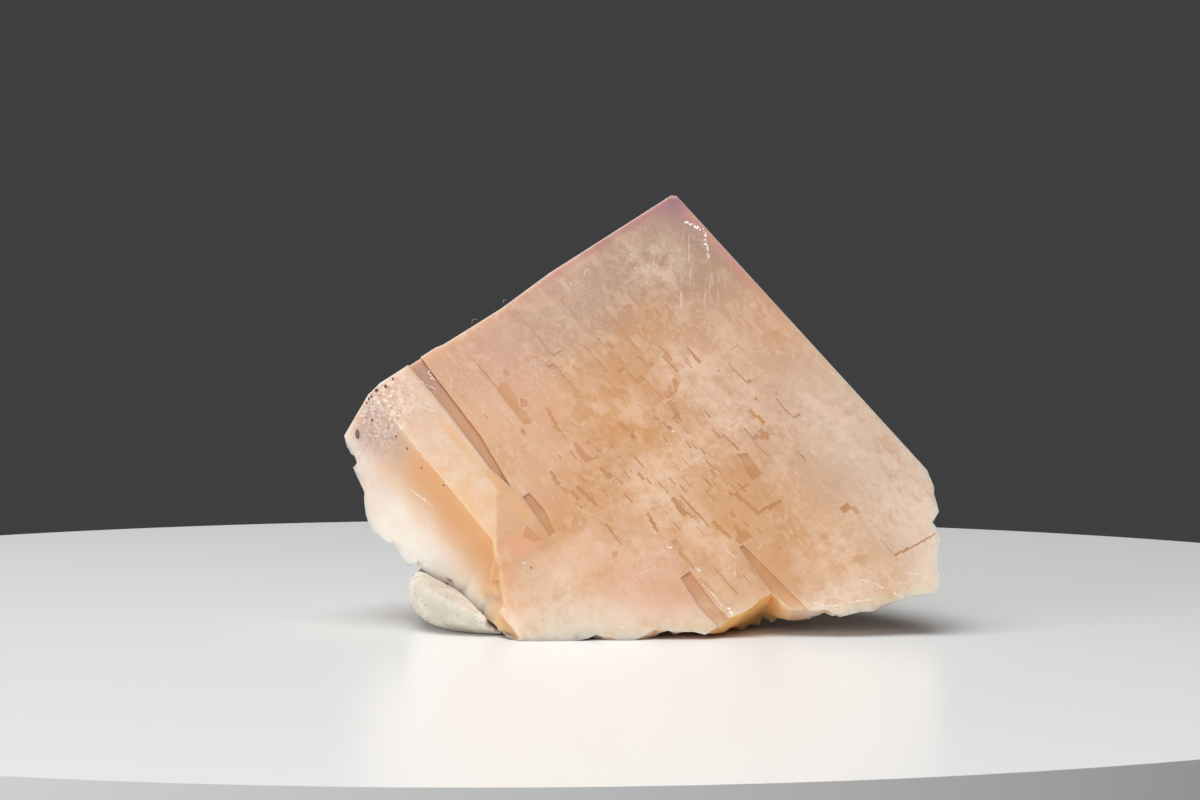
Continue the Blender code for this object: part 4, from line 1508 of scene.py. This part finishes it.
def scatter_group():
    """Scatters small irregular flakes over a mesh and sets each on the stone's surface."""
    group = bpy.data.node_groups.new("scatter_flakes", "GeometryNodeTree")
    inputs = (
        ("Geometry", "NodeSocketGeometry"),
        ("Stone", "NodeSocketObject"),
        ("Density", "NodeSocketFloat"),
        ("Smallest", "NodeSocketFloat"),
        ("Largest", "NodeSocketFloat"),
        ("Seed", "NodeSocketInt"),
        ("Finish", "NodeSocketMaterial"),
    )
    for name, kind in inputs:
        group.interface.new_socket(name, in_out="INPUT", socket_type=kind)
    group.interface.new_socket("Geometry", in_out="OUTPUT", socket_type="NodeSocketGeometry")

    def node(kind):
        return group.nodes.new(kind)

    given = node("NodeGroupInput").outputs
    points = node("GeometryNodeDistributePointsOnFaces")
    stone = node("GeometryNodeObjectInfo")
    nearest = node("GeometryNodeProximity")
    settle = node("GeometryNodeSetPosition")
    flake = node("GeometryNodeMeshIcoSphere")
    turn = node("FunctionNodeRandomValue")
    turn.data_type = "FLOAT_VECTOR"
    turn.inputs["Max"].default_value = (math.tau,) * 3
    size = node("FunctionNodeRandomValue")
    size.data_type = "FLOAT_VECTOR"
    place = node("GeometryNodeInstanceOnPoints")
    real = node("GeometryNodeRealizeInstances")
    coat = node("GeometryNodeSetMaterial")
    out = node("NodeGroupOutput")
    flake.inputs["Subdivisions"].default_value = 1
    flake.inputs["Radius"].default_value = 1.0
    links = (
        (given["Geometry"], points.inputs["Mesh"]),
        (given["Density"], points.inputs["Density"]),
        (given["Seed"], points.inputs["Seed"]),
        (given["Stone"], stone.inputs["Object"]),
        (stone.outputs["Geometry"], nearest.inputs[0]),
        (points.outputs["Points"], settle.inputs["Geometry"]),
        (nearest.outputs["Position"], settle.inputs["Position"]),
        (settle.outputs["Geometry"], place.inputs["Points"]),
        (flake.outputs["Mesh"], place.inputs["Instance"]),
        (given["Seed"], turn.inputs["Seed"]),
        (given["Seed"], size.inputs["Seed"]),
        (given["Smallest"], size.inputs["Min"]),
        (given["Largest"], size.inputs["Max"]),
        (turn.outputs["Value"], place.inputs["Rotation"]),
        (size.outputs["Value"], place.inputs["Scale"]),
        (place.outputs["Instances"], real.inputs["Geometry"]),
        (real.outputs["Geometry"], coat.inputs["Geometry"]),
        (given["Finish"], coat.inputs["Material"]),
        (coat.outputs["Geometry"], out.inputs["Geometry"]),
    )
    for source, target in links:
        group.links.new(source, target)
    return group


def scattered(obj, group, **values):
    """Run the scatter on an object and keep only its flakes, as plain mesh."""
    modifier = obj.modifiers.new("scatter", "NODES")
    modifier.node_group = group
    for item in group.interface.items_tree:
        if item.in_out == "INPUT" and item.name in values:
            modifier[item.identifier] = values[item.name]
    bake_modifiers(obj)
    return obj


def glitter_piece(group, stone, finish):
    """White flakes as painted glints of tiny facets, over the places where the skin is crushed or
    stepped.
    """
    bm = bmesh.new()
    for a, b, radius in GLITTER_PATCHES:
        ring = []
        for i in range(PATCH_CORNERS):
            angle = math.tau * i / PATCH_CORNERS
            out_a, out_b = radius * math.cos(angle), radius * math.sin(angle)
            ring.append(bm.verts.new(at_cube(a + out_a, b + out_b, PATCH_LIFT)))
        bm.faces.new(ring)
    patches = object_of("glitter", bm, [])
    return scattered(patches, group, Stone=stone, Finish=finish, **GLITTER)


def grit_piece(group, putty, finish):
    """Dust and grit stuck to the putty."""
    ground = bpy.data.objects.new("putty_grit", putty.data.copy())
    bpy.context.scene.collection.objects.link(ground)
    dust = scattered(ground, group, Stone=putty, Finish=finish, **GRIT)
    for vertex in dust.data.vertices:
        vertex.co.z = max(vertex.co.z, 0.0)
    return dust


def speckled_material(name, dark, light, roughness, ior):
    """A finish whose colour drifts between two tones, given as 0 to 255 values."""
    material, tree, shader = new_material(name, roughness, ior)
    place = millimetres(tree)
    tones = grouped(
        tree, DRIFTING_TONES, Place=place, Fineness=1.8, Dark=tone(*dark), Light=tone(*light)
    )
    feed(tree, shader.inputs["Base Color"], tones)
    return material


# --- stage -------------------------------------------------------------------------


def plain_material(name, colour, roughness):
    material, _, shader = new_material(name, roughness)
    shader.inputs["Base Color"].default_value = colour
    return material


def pale_floor():
    """A plain pale round floor."""
    bm = bmesh.new()
    bmesh.ops.create_cone(
        bm,
        cap_ends=True,
        segments=160,
        radius1=FLOOR_RADIUS,
        radius2=FLOOR_RADIUS,
        depth=FLOOR_THICK,
    )
    floor = object_of("pale_floor", bm, [plain_material("pale_floor", tone(*FLOOR_TONE), 0.3)])
    floor.data.transform(Matrix.Translation(FLOOR_MIDDLE - Vector((0, 0, FLOOR_THICK / 2))))
    floor.data.shade_smooth()
    floor.data.set_sharp_from_angle(angle=math.radians(30))


def lights():
    for name, at, towards, size, power in SOFTBOXES:
        data = bpy.data.lights.new(name, "AREA")
        data.shape = "RECTANGLE"
        data.size, data.size_y = size
        data.energy = power
        light = bpy.data.objects.new(name, data)
        light.location = at
        sight = Vector(towards) - Vector(at)
        light.rotation_euler = sight.to_track_quat("-Z", "Y").to_euler()
        bpy.context.scene.collection.objects.link(light)


def world():
    made = bpy.data.worlds.new("studio")
    made.use_nodes = True
    made.node_tree.nodes["Background"].inputs["Color"].default_value = STUDIO_GREY
    bpy.context.scene.world = made


def camera():
    data = bpy.data.cameras.new("camera")
    data.lens = CAMERA_LENS
    data.sensor_width = 36.0
    data.clip_start = 0.01
    made = bpy.data.objects.new("camera", data)
    made.location = CAMERA_AT
    made.rotation_euler = Euler((math.radians(90) - CAMERA_DOWN, 0, 0))
    bpy.context.scene.collection.objects.link(made)
    bpy.context.scene.camera = made


# --- assembly ----------------------------------------------------------------------


def add_piece(obj):
    """A piece of the resting object: it rides the one body."""
    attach(obj, "root")


def main():
    bpy.context.scene.view_settings.view_transform = "Standard"
    crystal = crystal_piece(peach_fluorite())
    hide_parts("crystal")
    add_piece(crystal)
    putty = putty_piece(cream_putty())
    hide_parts("putty_blob")
    add_piece(putty)

    stone = surface_tree(crystal)
    # One white finish serves the bruises and the painted glints.
    crushed_and_glints, mineral, dust, hair = (speckled_material(*row) for row in SMALL_FINISHES)
    group = scatter_group()
    add_piece(bruises_and_glints_piece(stone, crushed_and_glints))
    add_piece(grains_piece(stone, mineral))
    add_piece(fibres_piece(hair))
    add_piece(glitter_piece(group, crystal, crushed_and_glints))
    add_piece(grit_piece(group, putty, dust))

    pale_floor()
    lights()
    world()
    camera()


main()
